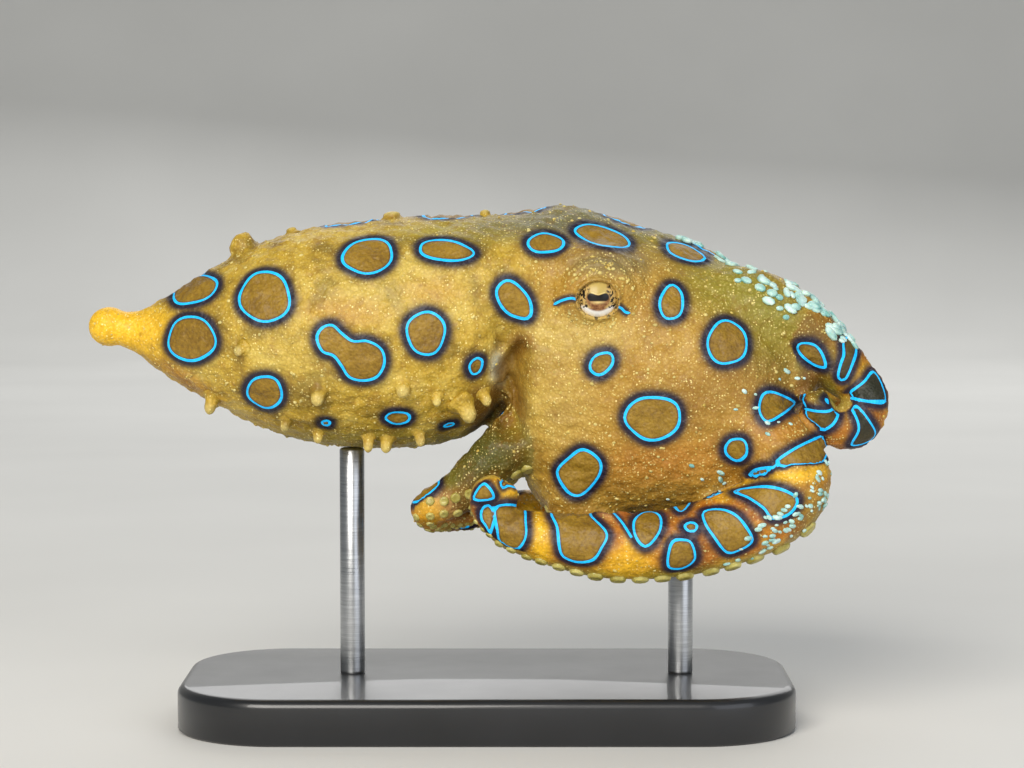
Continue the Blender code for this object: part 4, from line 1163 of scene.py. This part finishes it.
def mark_skin(points, normals, owner, share, runs, plain, on_body):
    """Draws every marking and tint on both sides of the animal and on the hidden arms."""
    marks = Markings(points, normals)
    rng = np.random.default_rng(7)
    names = list(runs)
    right = np.array([1.0, 0.0, 0.0])
    for side, side_name in SIDES:
        flip = np.array([1.0, -side, 1.0])
        moved = points.copy()
        if side == LEFT:
            for number, name in enumerate(names):
                moved[owner == number] -= runs[name]["shift"] * flip
        flat, depth = on_picture(moved * flip)
        upward = UPWARD * flip
        facing = normals @ (FORWARD * flip)
        on_side = side * points[:, 1] > -0.5
        of_arm = {arm: (owner == names.index(f"{arm}_{side_name}")) & on_side for arm in ARMS}
        groups = {arm: rows & ~on_body for arm, rows in of_arm.items()}
        groups["body"] = on_body & ~plain & on_side
        for x, z, length, height, tilt in RINGS:
            if side == LEFT:
                x, z = x + rng.uniform(-0.5, 0.5), z + rng.uniform(-0.4, 0.4)
                length, tilt = length * rng.uniform(0.9, 1.08), tilt + rng.uniform(-12, 12)
            marks.draw(ellipse(x, z, length, height, tilt), flat, depth, facing,
                       groups["body"], right, upward)
        for lines, closed in ((PATCHES, True), (STROKES, False)):
            for group, outlines in lines.items():
                for corners in outlines:
                    marks.draw(rounded(corners, closed), flat, depth, facing, groups[group],
                               right, upward, closed)
        # Tints also lie in the folds, and on the fourth arm up to its root.
        groups.update(body=on_body & on_side, arm_4=of_arm["arm_4"])
        for kind, skins in TINTS.items():
            for group, shapes in skins.items():
                for shape in shapes:
                    marks.tint(kind, flat, groups[group], *shape)
    for x, y, length, width, tilt in BACK_RINGS:
        marks.draw(ellipse(x, y, length, width, tilt), points[:, :2], -points[:, 2],
                   -normals[:, 2], (owner < 0) & ~plain, right, np.array([0.0, 1.0, 0.0]))
    mark_hidden_arms(marks, owner, share, runs, on_body)
    return marks


def mark_hidden_arms(marks, owner, share, runs, on_body):
    """Rows of oval patches along the back of the arms that the camera doesn't see.

    A patch spans a little under two thirds of the pitch along the arm and most of its back. On
    arms that the camera sees, the row lies on the side turned away from it.
    """
    for number, run in enumerate(runs.values()):
        rows = np.flatnonzero((owner == number) & ~on_body)
        at = share[rows]
        away = marks.points[rows] - read_at(run, "line", at)
        tangent = unit(read_at(run, "tangent", at))
        away = unit(away - (away * tangent).sum(axis=1, keepdims=True) * tangent)
        back = -unit(read_at(run, "oral", at))
        if run["arm"] != "arm_3":
            back = unit(back * 0.4 + np.array([0.0, -run["side"], 0.0]))
        radius = np.maximum(read_at(run, "radius", at), 0.35)
        turn = np.arccos(np.clip((away * back).sum(axis=1), -1, 1))
        seen = run["side"] * away[:, 1] > -0.15
        position = max(run["free"], ROOT_END[run["arm"]]) + 0.5 / run["length"]
        while position < PATCHED_TO[run["arm"]]:
            size = float(np.interp(position, run["shares"], run["radius"]))
            pitch = max(1.9 * size, 1.7)
            half, wide = 0.31 * pitch, 0.95 * size
            along = (at - position) * run["length"]
            inside = np.sqrt((along / half) ** 2 + (turn * radius / wide) ** 2)
            signed = (inside - 1.0) * min(half, wide)
            near = (np.abs(along) < half + 1.2) & (turn < 2.2) & (marks.fill[rows] > 1.2)
            if run["arm"] != "arm_3":
                near &= ~seen
            marks.fill[rows[near]] = signed[near]
            position += pitch / run["length"]


def outside_body(points):
    """How far points stand outside the mantle, and outside all of the body but the arms."""
    mantle_gap = outside_of(MANTLE_OUTSIDE, points)
    (x, out, z), radii = MOUND
    balls = [((x, side * out, z), radii) for side in (RIGHT, LEFT)] + [TAIL_KNOB, DORSAL_KNOB]
    gaps = [mantle_gap, outside_of(NAPE, points, NAPE_FULLNESS),
            outside_of(HEAD_AND_CROWN, points, LOWER_FULLNESS)]
    return mantle_gap, np.minimum.reduce(
        gaps + [outside_of_ellipsoid(*ball, points) for ball in balls])


def sucker_side(points, owner, share, runs):
    """1 on the sucker side of every arm beyond its root, with a soft edge, and 0 elsewhere."""
    oral = np.zeros(len(points))
    for number, run in enumerate(runs.values()):
        rows = np.flatnonzero(owner == number)
        at, begin = share[rows], ROOT_END[run["arm"]]
        away = unit(points[rows] - read_at(run, "line", at))
        thin = 0.25 * (1 - smooth_step(read_at(run, "radius", at), 1.0, 2.6))
        cosine = (away * unit(read_at(run, "oral", at))).sum(axis=1)
        oral[rows] = smooth_step(cosine, 0.4 + thin, 0.8 + thin * 0.5)
        oral[rows] *= smooth_step(at, begin, begin + 0.1)
    return oral


def make_skin(runs, look):
    """The fused, smoothed and marked skin. Returns its object and what the rest stands on."""
    mesh = finer_round_eyes(fused(flesh_shells(runs), SKIN_VOXEL))
    points, faces = points_of(mesh), faces_of(mesh)
    edges = edges_of(*faces)
    for _ in range(EVENING_ROUNDS):
        points = relax(points, edges, *EVEN_OUT)
        points = relax(points, edges, *EVEN_BACK)
    arm_gap, owner, share = nearest_arm(points, runs)
    mantle_gap, body_gap = outside_body(points)
    # Joins of arms, head and mantle are smoothed until no seam is left.
    x, z = points[:, 0], points[:, 2]
    join = np.exp(-(np.abs(arm_gap) + np.abs(body_gap)) / JOIN_REACH)
    neck = hill(x, 1.0, 2.2) * smooth_step(z, 35.5, 37.0)
    eye = np.hypot(x - EYE[0], z - EYE[2])
    around_eye = 0.6 * hill(eye, 4.4, 1.6) * (z > 32)
    joins = np.clip(join * 1.3 + neck + around_eye, 0, 1)
    points = relax(points, edges, 0.6 * joins, JOIN_ROUNDS)
    points = relax(points, edges, np.where(eye < 3.6, 0.5, 0.0), EYE_ROUNDS)
    # What each point is part of: the body, or an arm beyond its root, and that arm's side.
    root_end = np.array([max(ROOT_END[run["arm"]], run["free"] * (run["arm"] > "arm_2"))
                         for run in runs.values()])[owner]
    beyond_root = share > root_end
    inner = arm_gap < body_gap
    # Where an arm lies against the crown, a marking runs into the fold without a line.
    line = 1 - beyond_root * (1 - smooth_step(np.where(inner, body_gap, arm_gap), 0.55, 0.8))
    owner = np.where(inner, owner, -1)
    hollow = hollow_neck(points)
    # How deep a point lies in the neck's hollow, which the skin's look darkens there as painted
    # shade.
    recess = np.maximum(smooth_step(-body_gap, 0.45, 1.3) * smooth_step(-x, -5, -3.5), hollow)
    recess *= owner < 0
    lip = (mantle_gap < 0.3) * smooth_step(x, -2.2, -0.8) * (1 - smooth_step(z, 29.6, 30.8))
    arm = smooth_step(body_gap, 0.3, 2.6) * (owner >= 0) * smooth_step(share - root_end, -0.05, 0.1)
    oral = sucker_side(points, owner, share, runs) * smooth_step(body_gap, 0.0, 1.0)
    # Fine unevenness, but not on lids, lips and sucker sides.
    normals = normals_of(points, *faces)
    smooth_skin = np.clip(lip + (eye < 3.4) + oral, 0, 1)
    rough = sum(height * waves(points, size, seed) for height, size, seed in ROUGH)
    rough *= smooth_step(x, -34, -27)
    points = points + normals * (rough * (1 - 0.8 * smooth_skin))[:, None]
    points, lid = shape_eyes(points)
    marks = mark_skin(points, normals, owner, share, runs, recess > 0.6,
                      (owner < 0) | ~beyond_root | (body_gap < 0.5))
    bare = (oral > 0.8) | (lid > 0.5)
    marks.fill[bare] = FAR
    marks.stroke_on[bare] = 0.0
    # Where one marking is cut off by another's edge, the step between them is eased.
    marks.fill = np.minimum(marks.fill, FILL_REACH)
    jump = np.abs(neighbour_mean(marks.fill, edges) - marks.fill) > 0.3
    marks.fill = relax(marks.fill, edges, 0.5 * jump, 2)
    tints = marks.tints
    tints["brown"] = np.maximum(tints["brown"], 0.75 * lip)
    attributes = {"mark": FAR - marks.fill, "stroke": marks.stroke, "stroke_on": marks.stroke_on,
                  "line": line, "warm": smooth_step(x, 1.0, 7.0), "arm": arm, "oral": oral * 0.8,
                  "recess": recess * 0.75, "lid": lid, **tints}
    skin = put("skin", (points, *faces), look, attributes)
    return skin, {"points": points, "normals": normals_of(points, *faces), "fill": marks.fill,
                  "stroke_on": marks.stroke_on, "oral": oral, "lid": lid, "recess": recess,
                  "lip": lip}


def copies(form, places, ways, sizes, across):
    """Copies of a form: stood at each place along each way, at each size.

    Sizes are (across, aside, along) for each copy, and across is the way its own x lies.
    """
    ways = unit(np.asarray(ways, float))
    spare = unit(across - (across * ways).sum(axis=1, keepdims=True) * ways)
    frames = np.stack([spare, np.cross(ways, spare), ways], axis=1)
    points, quads, triangles = form
    scaled = points[None] * np.asarray(sizes)[:, None]
    placed = np.einsum("npk,nkd->npd", scaled, frames) + np.asarray(places)[:, None]
    step = np.arange(len(places))[:, None, None] * len(points)
    return (placed.reshape(-1, 3), (quads[None] + step).reshape(-1, 4),
            (triangles[None] + step).reshape(-1, 3))


# Turned profiles of a sucker, a granule and a pale grain: height and radius, in their sizes.
CUP = [(-0.9, 0), (-0.7, 1.2), (0.0, 1.26), (0.3, 1.14), (0.48, 0.92), (0.4, 0.55), (0.26, 0)]
DOME = [(-0.5, 0), (-0.3, 1.0), (0.3, 0.85), (0.75, 0.5), (0.9, 0)]
BLOCK = [(-0.5, 0), (-0.4, 0.9), (0.5, 1.0), (0.85, 0.8), (0.95, 0)]
# A papilla, as share of its length and width in its radii: a wide foot and a blunt round end.
PAPILLA = [(-0.4, 2.1), (-0.12, 1.75), (0.06, 1.35), (0.25, 1.12), (0.45, 1.02), (0.64, 0.98),
           (0.8, 0.87), (0.93, 0.62), (1.01, 0.3)]
PAPILLA_SIDES = 16


def nearest_skin(base, place):
    """The nearest point of the skin to a place, its normal, and how far off it is."""
    away = np.linalg.norm(base["points"] - place, axis=1)
    nearest = away.argmin()
    return base["points"][nearest], base["normals"][nearest], away[nearest]


def make_suckers(runs, base, look, rng):
    """Two rows of low cups along each arm, from the crown's edge to the tip."""
    places, ways, sizes = [], [], []
    for run in runs.values():
        share, row = SUCKERS_FROM[run["arm"]], 0
        while share < ROLLED[run["arm"]]:
            radius = float(read_at(run, "radius", np.array([share]))[0])
            size = max(SUCKER_SHARE * radius, SUCKER_LEAST)
            angle = np.array([math.pi + (ROW_ANGLE if row % 2 else -ROW_ANGLE)])
            way, reach = section_reach(run, np.array([share]), angle)
            root = read_at(run, "line", np.array([share]))[0] + way[0, 0] * reach[0, 0]
            root, normal, off = nearest_skin(base, root)
            if off < 0.5 and (normal * way[0, 0]).sum() > 0.2:
                places.append(root)
                ways.append(way[0, 0] + normal)
                sizes.append((size, size, size))
            share += max(SUCKER_PITCH * radius, SUCKER_PITCH_LEAST) / 2 / run["length"]
            row += 1
    across = rng.normal(size=(len(places), 3))
    return put("suckers", copies(turned_form(CUP, 8), places, ways, sizes, across), look)


def papilla(base, place, radius, length, droop):
    """A finger of skin that starts along the skin's normal and bends down towards its end.

    With h the share of its length, its middle line is at root + length * (h * out + droop * h^2
    * down), and each ring about it is as wide as the profile says.
    """
    root, normal, _ = nearest_skin(base, np.asarray(place))
    out = unit(normal - np.array([0.0, 0.0, 0.6 * droop]))
    turn = np.linspace(0, 2 * math.pi, PAPILLA_SIDES, endpoint=False)[:, None]
    across = unit(np.cross(out, (0.9, 0.1, 0.3)))
    circle = np.cos(turn) * across + np.sin(turn) * np.cross(out, across)
    rings = []
    for share, wide in PAPILLA:
        bend = np.array([0.0, 0.0, -droop * max(share, 0.0) ** 2 * length])
        rings.append(root + out * share * length + bend + radius * wide * circle)
    end = root + out * length * 1.04 - np.array([0.0, 0.0, droop * length])
    return closed_rings(np.array(rings), root - out * length * 0.4, end)


def make_papillae(base, look):
    """Blunt fingers of skin under and along the mantle, paler towards their ends."""
    stations = np.array(MANTLE_OUTSIDE)
    made = []
    for x, z, radius, length in PAPILLAE:
        top, bottom, half = (np.interp(x, stations[:, 0], column) for column in stations[:, 1:].T)
        lift = np.clip((z - (top + bottom) / 2) / ((top - bottom) / 2), -0.985, 0.985)
        for side in (RIGHT, LEFT):
            place = (x, side * half * math.sqrt(1 - lift**2), z)
            made.append(papilla(base, place, radius * 1.05, length * 0.78, 0.3))
    for x, radius, length in BACK_PAPILLAE:
        top = np.interp(x, stations[:, 0], stations[:, 1])
        made.append(papilla(base, (x, 0.0, top), radius, length * 0.9, 0.0))
    count = len(made[0][0])
    ring = np.minimum(np.arange(count) // PAPILLA_SIDES, len(PAPILLA))
    height = np.array([share for share, _ in PAPILLA] + [1.0])[ring]
    height[-2:] = (-0.4, 1.0)
    tip = np.tile(0.34 * smooth_step(height, 0.3, 0.95), len(made))
    return put("papillae", joined(made), look, {"tip": tip})


def make_granules(base, look, rng):
    """Fine raised granules all over the skin but the rings, lids and sucker sides."""
    fit = np.flatnonzero((base["fill"] > 0.8) & (base["lid"] < 0.05) & (base["oral"] < 0.2)
                         & (base["recess"] < 0.2) & (base["stroke_on"] < 0.1) & (base["lip"] < 0.1))
    chosen = rng.choice(fit, size=GRANULES, replace=False)
    size = GRANULE_LEAST + GRANULE_MORE * rng.random(len(chosen)) ** 3
    sizes = np.column_stack([size * rng.uniform(1.0, 1.5, len(size)), size, size * 0.75])
    across = rng.normal(size=(len(chosen), 3)) * (1.0, 0.3, 0.3)
    surface = copies(turned_form(DOME, 6), base["points"][chosen], base["normals"][chosen],
                     sizes, across)
    light = np.repeat(rng.uniform(0.1, 0.65, len(chosen)), len(surface[0]) // len(chosen))
    return put("skin_granules", surface, look, {"tip": light})


# Clusters of pale grains on the picture plane: x, z, count, and how far they spread.
TOP_GRAINS = [
    (15.7, 13.1, 5, 0.3), (16.7, 12.8, 4, 0.3), (19.0, 11.3, 7, 0.5), (20.4, 10.9, 7, 0.5),
    (20.4, 9.4, 6, 0.5), (21.7, 10.1, 6, 0.5), (21.7, 9.1, 8, 0.6), (22.7, 8.6, 8, 0.6),
    (23.6, 8.3, 7, 0.5), (23.6, 7.5, 7, 0.5), (25.0, 9.0, 7, 0.5), (26.1, 8.3, 6, 0.5),
    (25.0, 7.4, 8, 0.6), (24.5, 6.6, 6, 0.4), (26.6, 6.9, 8, 0.6), (27.8, 6.6, 8, 0.6),
    (28.5, 5.8, 7, 0.5), (29.7, 5.5, 7, 0.5), (29.3, 4.6, 7, 0.5), (30.1, 4.1, 5, 0.4),
]
LOW_GRAINS = [
    (28.0, -7.9, 6, 0.7), (27.8, -8.9, 6, 0.7), (27.3, -9.7, 6, 0.7), (26.6, -10.3, 6, 0.7),
    (26.0, -10.5, 6, 0.7), (25.4, -11.3, 6, 0.7), (24.3, -11.6, 6, 0.7), (23.7, -12.2, 6, 0.7),
    (23.1, -12.8, 6, 0.7), (22.4, -13.5, 6, 0.7), (25.0, -13.6, 6, 0.7), (21.9, -14.2, 6, 0.7),
    (20.6, -15.0, 6, 0.7), (19.8, -15.4, 6, 0.7),
]
LOOSE_GRAINS = [
    (25.2, 0.9, 2, 0.5), (25.0, -3.5, 2, 0.5), (23.6, -3.8, 2, 0.5), (20.6, -2.3, 2, 0.5),
    (21.3, -0.3, 2, 0.5), (18.7, -8.6, 2, 0.5), (18.1, -9.0, 2, 0.5), (24.1, 0.4, 2, 0.5),
    (26.0, 1.1, 2, 0.5), (16.7, -7.6, 2, 0.5), (13.5, -10.5, 2, 0.5), (23.0, -4.1, 2, 0.5),
]


def make_pale_grains(base, look, rng):
    """Crowded pale blocks on the upper edge of the crown and the first arms, and some beads."""
    places, ways, sizes = [], [], []
    for side in (RIGHT, LEFT):
        flip = np.array([1.0, -side, 1.0])
        flat, _ = on_picture(base["points"] * flip)
        shown = (side * base["points"][:, 1] > 0) & (side * base["normals"][:, 1] > -0.35)
        for clusters, size in ((TOP_GRAINS, 0.42), (LOW_GRAINS, 0.24), (LOOSE_GRAINS, 0.24)):
            for x, z, count, spread in clusters:
                away = np.hypot((flat[:, 0] - x) / 1.3, flat[:, 1] - z)
                fit = np.flatnonzero(shown & (away < spread + 0.35))
                if len(fit) < count:
                    continue
                chosen = rng.choice(fit, size=count, replace=False)
                big = size * rng.uniform(0.55, 1.25, count)
                places.append(base["points"][chosen])
                ways.append(base["normals"][chosen])
                sizes.append(np.column_stack([big * rng.uniform(1.0, 1.5, count), big * 0.75,
                                              big * 0.65]))
    places, ways, sizes = (np.vstack(rows) for rows in (places, ways, sizes))
    across = np.array([1.0, 0.0, -0.3]) + 0.35 * rng.normal(size=places.shape)
    return put("pale_grains", copies(turned_form(BLOCK, 8), places, ways, sizes, across), look)


def make_eye(side, name, look):
    """An eyeball as rings round its line of sight, and what each point of it shows."""
    x, out, z = EYE
    tilt = np.linspace(0.01, math.pi - 0.01, 96)[:, None] ** 1.15 / math.pi**0.15
    turn = np.linspace(0, 2 * math.pi, 96, endpoint=False)
    rings = np.stack([
        x + EYE_RADIUS * np.sin(tilt) * np.cos(turn),
        side * (out + EYE_RADIUS * np.cos(tilt) * np.ones_like(turn)),
        z + EYE_RADIUS * np.sin(tilt) * np.sin(turn),
    ], axis=2)
    surface = closed_rings(rings, (x, side * (out + EYE_RADIUS), z),
                           (x, side * (out - EYE_RADIUS), z))
    points = surface[0]
    across, up = points[:, 0] - x, points[:, 2] - z
    front = side * points[:, 1] > out
    # The pupil is a slit whose upper edge sags in the middle, under the upper lid.
    top = 0.36 - 0.2 * hill(across, 0, 0.45)
    bar = np.hypot(np.maximum(np.abs(across) - 0.62, 0), np.abs(up) * 0.9) - 0.3
    slit = np.maximum(bar, up - top)
    ring = np.hypot(across / 1.2, up + 0.15)
    attributes = {
        "pupil": (1 - smooth_step(slit, -0.03, 0.05)) * front,
        "upper": smooth_step(up, 0.1, 0.3) * (1 - smooth_step(np.abs(across), 0.7, 1.0)) * front,
        "gold": front * np.maximum(
            0.75 * hill(across, 0, 0.5) * hill(up, -0.42, 0.14),
            0.6 * hill(slit, 0.06, 0.05) * (up > 0.05) * (np.abs(across) < 0.6)),
        "pale": smooth_step(ring, 0.95, 1.15) * smooth_step(-up, 0.6, 0.9) * front,
        "fleck": smooth_step(ring, 0.75, 0.95) * front * (up > -0.95) * smooth_step(
            np.abs(across) - 0.3 * np.maximum(up, 0), 0.35, 0.7),
    }
    return put(name, surface, look, attributes)


def box_of(node):
    """The two corners of a CAD node's box, in millimetres."""
    return [np.array(corner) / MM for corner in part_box(node)]


def make_lips(look):
    """Lips: a turned ring with fine radial folds, round a pit that is closed above."""
    profile = [(0.0, 0), (0.0, 1.3), (-0.3, 1.5), (-0.6, 1.6), (-0.9, 1.5), (-1.12, 1.25),
               (-1.2, 1.0), (-1.15, 0.75), (-0.95, 0.55), (-0.6, 0.4), (-0.5, 0)]
    low, high = box_of("mouth")
    points, quads, triangles = turned_form(profile, 96)
    fold = 1 + 0.03 * np.cos(16 * np.arctan2(points[:, 1], points[:, 0]))
    points[:, :2] *= fold[:, None]
    points += ((low[0] + high[0]) / 2, 0, high[2])
    return put("lips", (points, quads, triangles), look)


def make_base(look):
    """The stand's base: a plate with rounded corners and a quarter-round upper edge."""
    low, high = box_of("stand_base")
    corner, edge = 9.0, 0.8
    half = high[:2] - corner
    angle = np.concatenate([np.linspace(q, q + 90, 20) for q in (0, 90, 180, 270)])
    c, s = np.cos(np.radians(angle)), np.sin(np.radians(angle))
    signs = np.repeat([(1, 1), (-1, 1), (-1, -1), (1, -1)], 20, axis=0)
    steps = [(low[2], 0.25), (low[2] + 0.25, 0.0)]
    steps += [(high[2] - edge + edge * math.sin(t), edge * (1 - math.cos(t)))
              for t in np.linspace(0, math.pi / 2, 8)]
    rings = np.array([np.column_stack([signs[:, 0] * half[0] + (corner - inset) * c,
                                       signs[:, 1] * half[1] + (corner - inset) * s,
                                       np.full(len(angle), height)]) for height, inset in steps])
    return put("display_base", closed_rings(rings, (0, 0, low[2]), (0, 0, high[2])), look)


def make_rod(name, node, look):
    """A round rod with a slightly domed end, which stands in the base."""
    low, high = box_of(node)
    middle, radius = (low + high) / 2, (high[0] - low[0]) / 2
    foot, top = low[2] - 0.5, high[2]
    profile = [(foot, 0), (foot, 0.98), (low[2], 1.0), (top - 0.25, 1.0), (top - 0.08, 0.9),
               (top, 0.7), (top, 0)]
    points, quads, triangles = turned_form([(z, radius * wide) for z, wide in profile], 48)
    return put(name, (points + (middle[0], middle[1], 0), quads, triangles), look)


def make_floor(look):
    """A pale sheet that runs flat under the model and curves up far behind it."""
    rows, columns = 40, 20
    run = np.linspace(0, 1, rows)
    bend = np.clip((run - 0.5) / 0.5, 0, 1) * math.pi / 2
    y = np.interp(run, [0, 0.5], [-900, 500]) + 350 * np.sin(bend)
    x = np.linspace(-1500, 1500, columns)
    points = np.stack(np.broadcast_arrays(x, y[:, None], 900 * (1 - np.cos(bend))[:, None]), axis=2)
    here = (np.arange(rows - 1)[:, None] * columns + np.arange(columns - 1)).ravel()
    quads = here[:, None] + (0, 1, columns + 1, columns)
    return put("pale_floor", (points.reshape(-1, 3), quads, np.zeros((0, 3), int)), look)


def add_light(name, place, size, watts, colour):
    """A soft square light that faces the model."""
    light = bpy.data.lights.new(name, "AREA")
    light.size = size
    light.energy = watts
    light.color = linear(colour)[:3]
    obj = bpy.data.objects.new(name, light)
    aim = (TARGET - np.array(place)) * MM
    obj.location = np.array(place) * MM
    obj.rotation_euler = look_along(aim)
    bpy.context.scene.collection.objects.link(obj)


def look_along(way):
    """The turn that points an object's -Z along a way, with its +Y upwards."""
    x, y, z = unit(np.asarray(way, float))
    return (math.acos(max(-1.0, min(1.0, -z))), 0.0, math.atan2(-x, y))


def make_camera():
    """A camera with a long lens, which looks down at the target by a few degrees."""
    camera = bpy.data.cameras.new("camera")
    camera.lens, camera.sensor_width = LENS, SENSOR
    camera.clip_start = 0.01
    obj = bpy.data.objects.new("camera", camera)
    obj.location = (TARGET - CAMERA_AWAY * FORWARD) * MM
    obj.rotation_euler = look_along(FORWARD)
    bpy.context.scene.collection.objects.link(obj)
    bpy.context.scene.camera = obj


def light_room():
    """Plain soft studio light: a large key, a fill, a light from behind and a pale room."""
    add_light("key", (-150, -450, 300), 0.32, 3.1, 0xFFFAF2)
    add_light("fill", (380, -380, 160), 0.45, 1.0, 0xF2F6FF)
    add_light("back", (60, 430, 330), 0.5, 1.2, 0xFFFFFF)
    world = bpy.data.worlds.new("studio")
    world.use_nodes = True
    world.node_tree.nodes["Background"].inputs["Color"].default_value = linear(0xDCE3E8)
    world.node_tree.nodes["Background"].inputs["Strength"].default_value = 0.27
    bpy.context.scene.world = world


def main():
    """Makes every piece, hides the nodes that it replaces, and sets up the floor, camera and
    lights.
    """
    rng = np.random.default_rng(11)
    runs = every_arm()
    hide = skin_look()
    skin, base = make_skin(runs, hide)
    cup = flesh_look("sucker_flesh", 0x9A8E3C, 0xCFC476, 0.4, 0.05)
    pearl = flesh_look("pale_grain_skin", 0x7AB4AC, 0xD6F0E6, 0.45, 0.06)
    lip = flesh_look("lip_flesh", 0xB0845A, 0xD2AE80, 0.4, 0.05)
    iris, steel = eye_look(), steel_look()
    flesh = ["mantle", "head", "crown", "funnel"]
    flesh += [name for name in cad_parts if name.startswith("arm_")]
    # Each piece, its slot and the nodes that it replaces.
    pieces = [
        (skin, "mantle_skin", flesh),
        (make_suckers(runs, base, cup, rng), "sucker_flesh", []),
        (make_papillae(base, hide), "mantle_skin", []),
        (make_granules(base, hide, rng), "mantle_skin", []),
        (make_pale_grains(base, pearl, rng), "mantle_skin", []),
        (make_lips(lip), "sucker_flesh", ["mouth"]),
        (make_eye(RIGHT, "eye_right_ball", iris), "eye", ["eye_right"]),
        (make_eye(LEFT, "eye_left_ball", iris), "eye", ["eye_left"]),
        (make_base(lacquer_look()), "stand_lacquer", ["stand_base"]),
        (make_rod("display_rod_rear", "stand_rod_rear", steel), "stand_steel", ["stand_rod_rear"]),
        (make_rod("display_rod_front", "stand_rod_front", steel), "stand_steel",
         ["stand_rod_front"]),
    ]
    for piece, slot, nodes in pieces:
        if nodes:
            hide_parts(*nodes)
        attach(piece, "root")
    make_floor(floor_look())
    make_camera()
    light_room()
    bpy.context.scene.view_settings.view_transform = "Standard"


main()
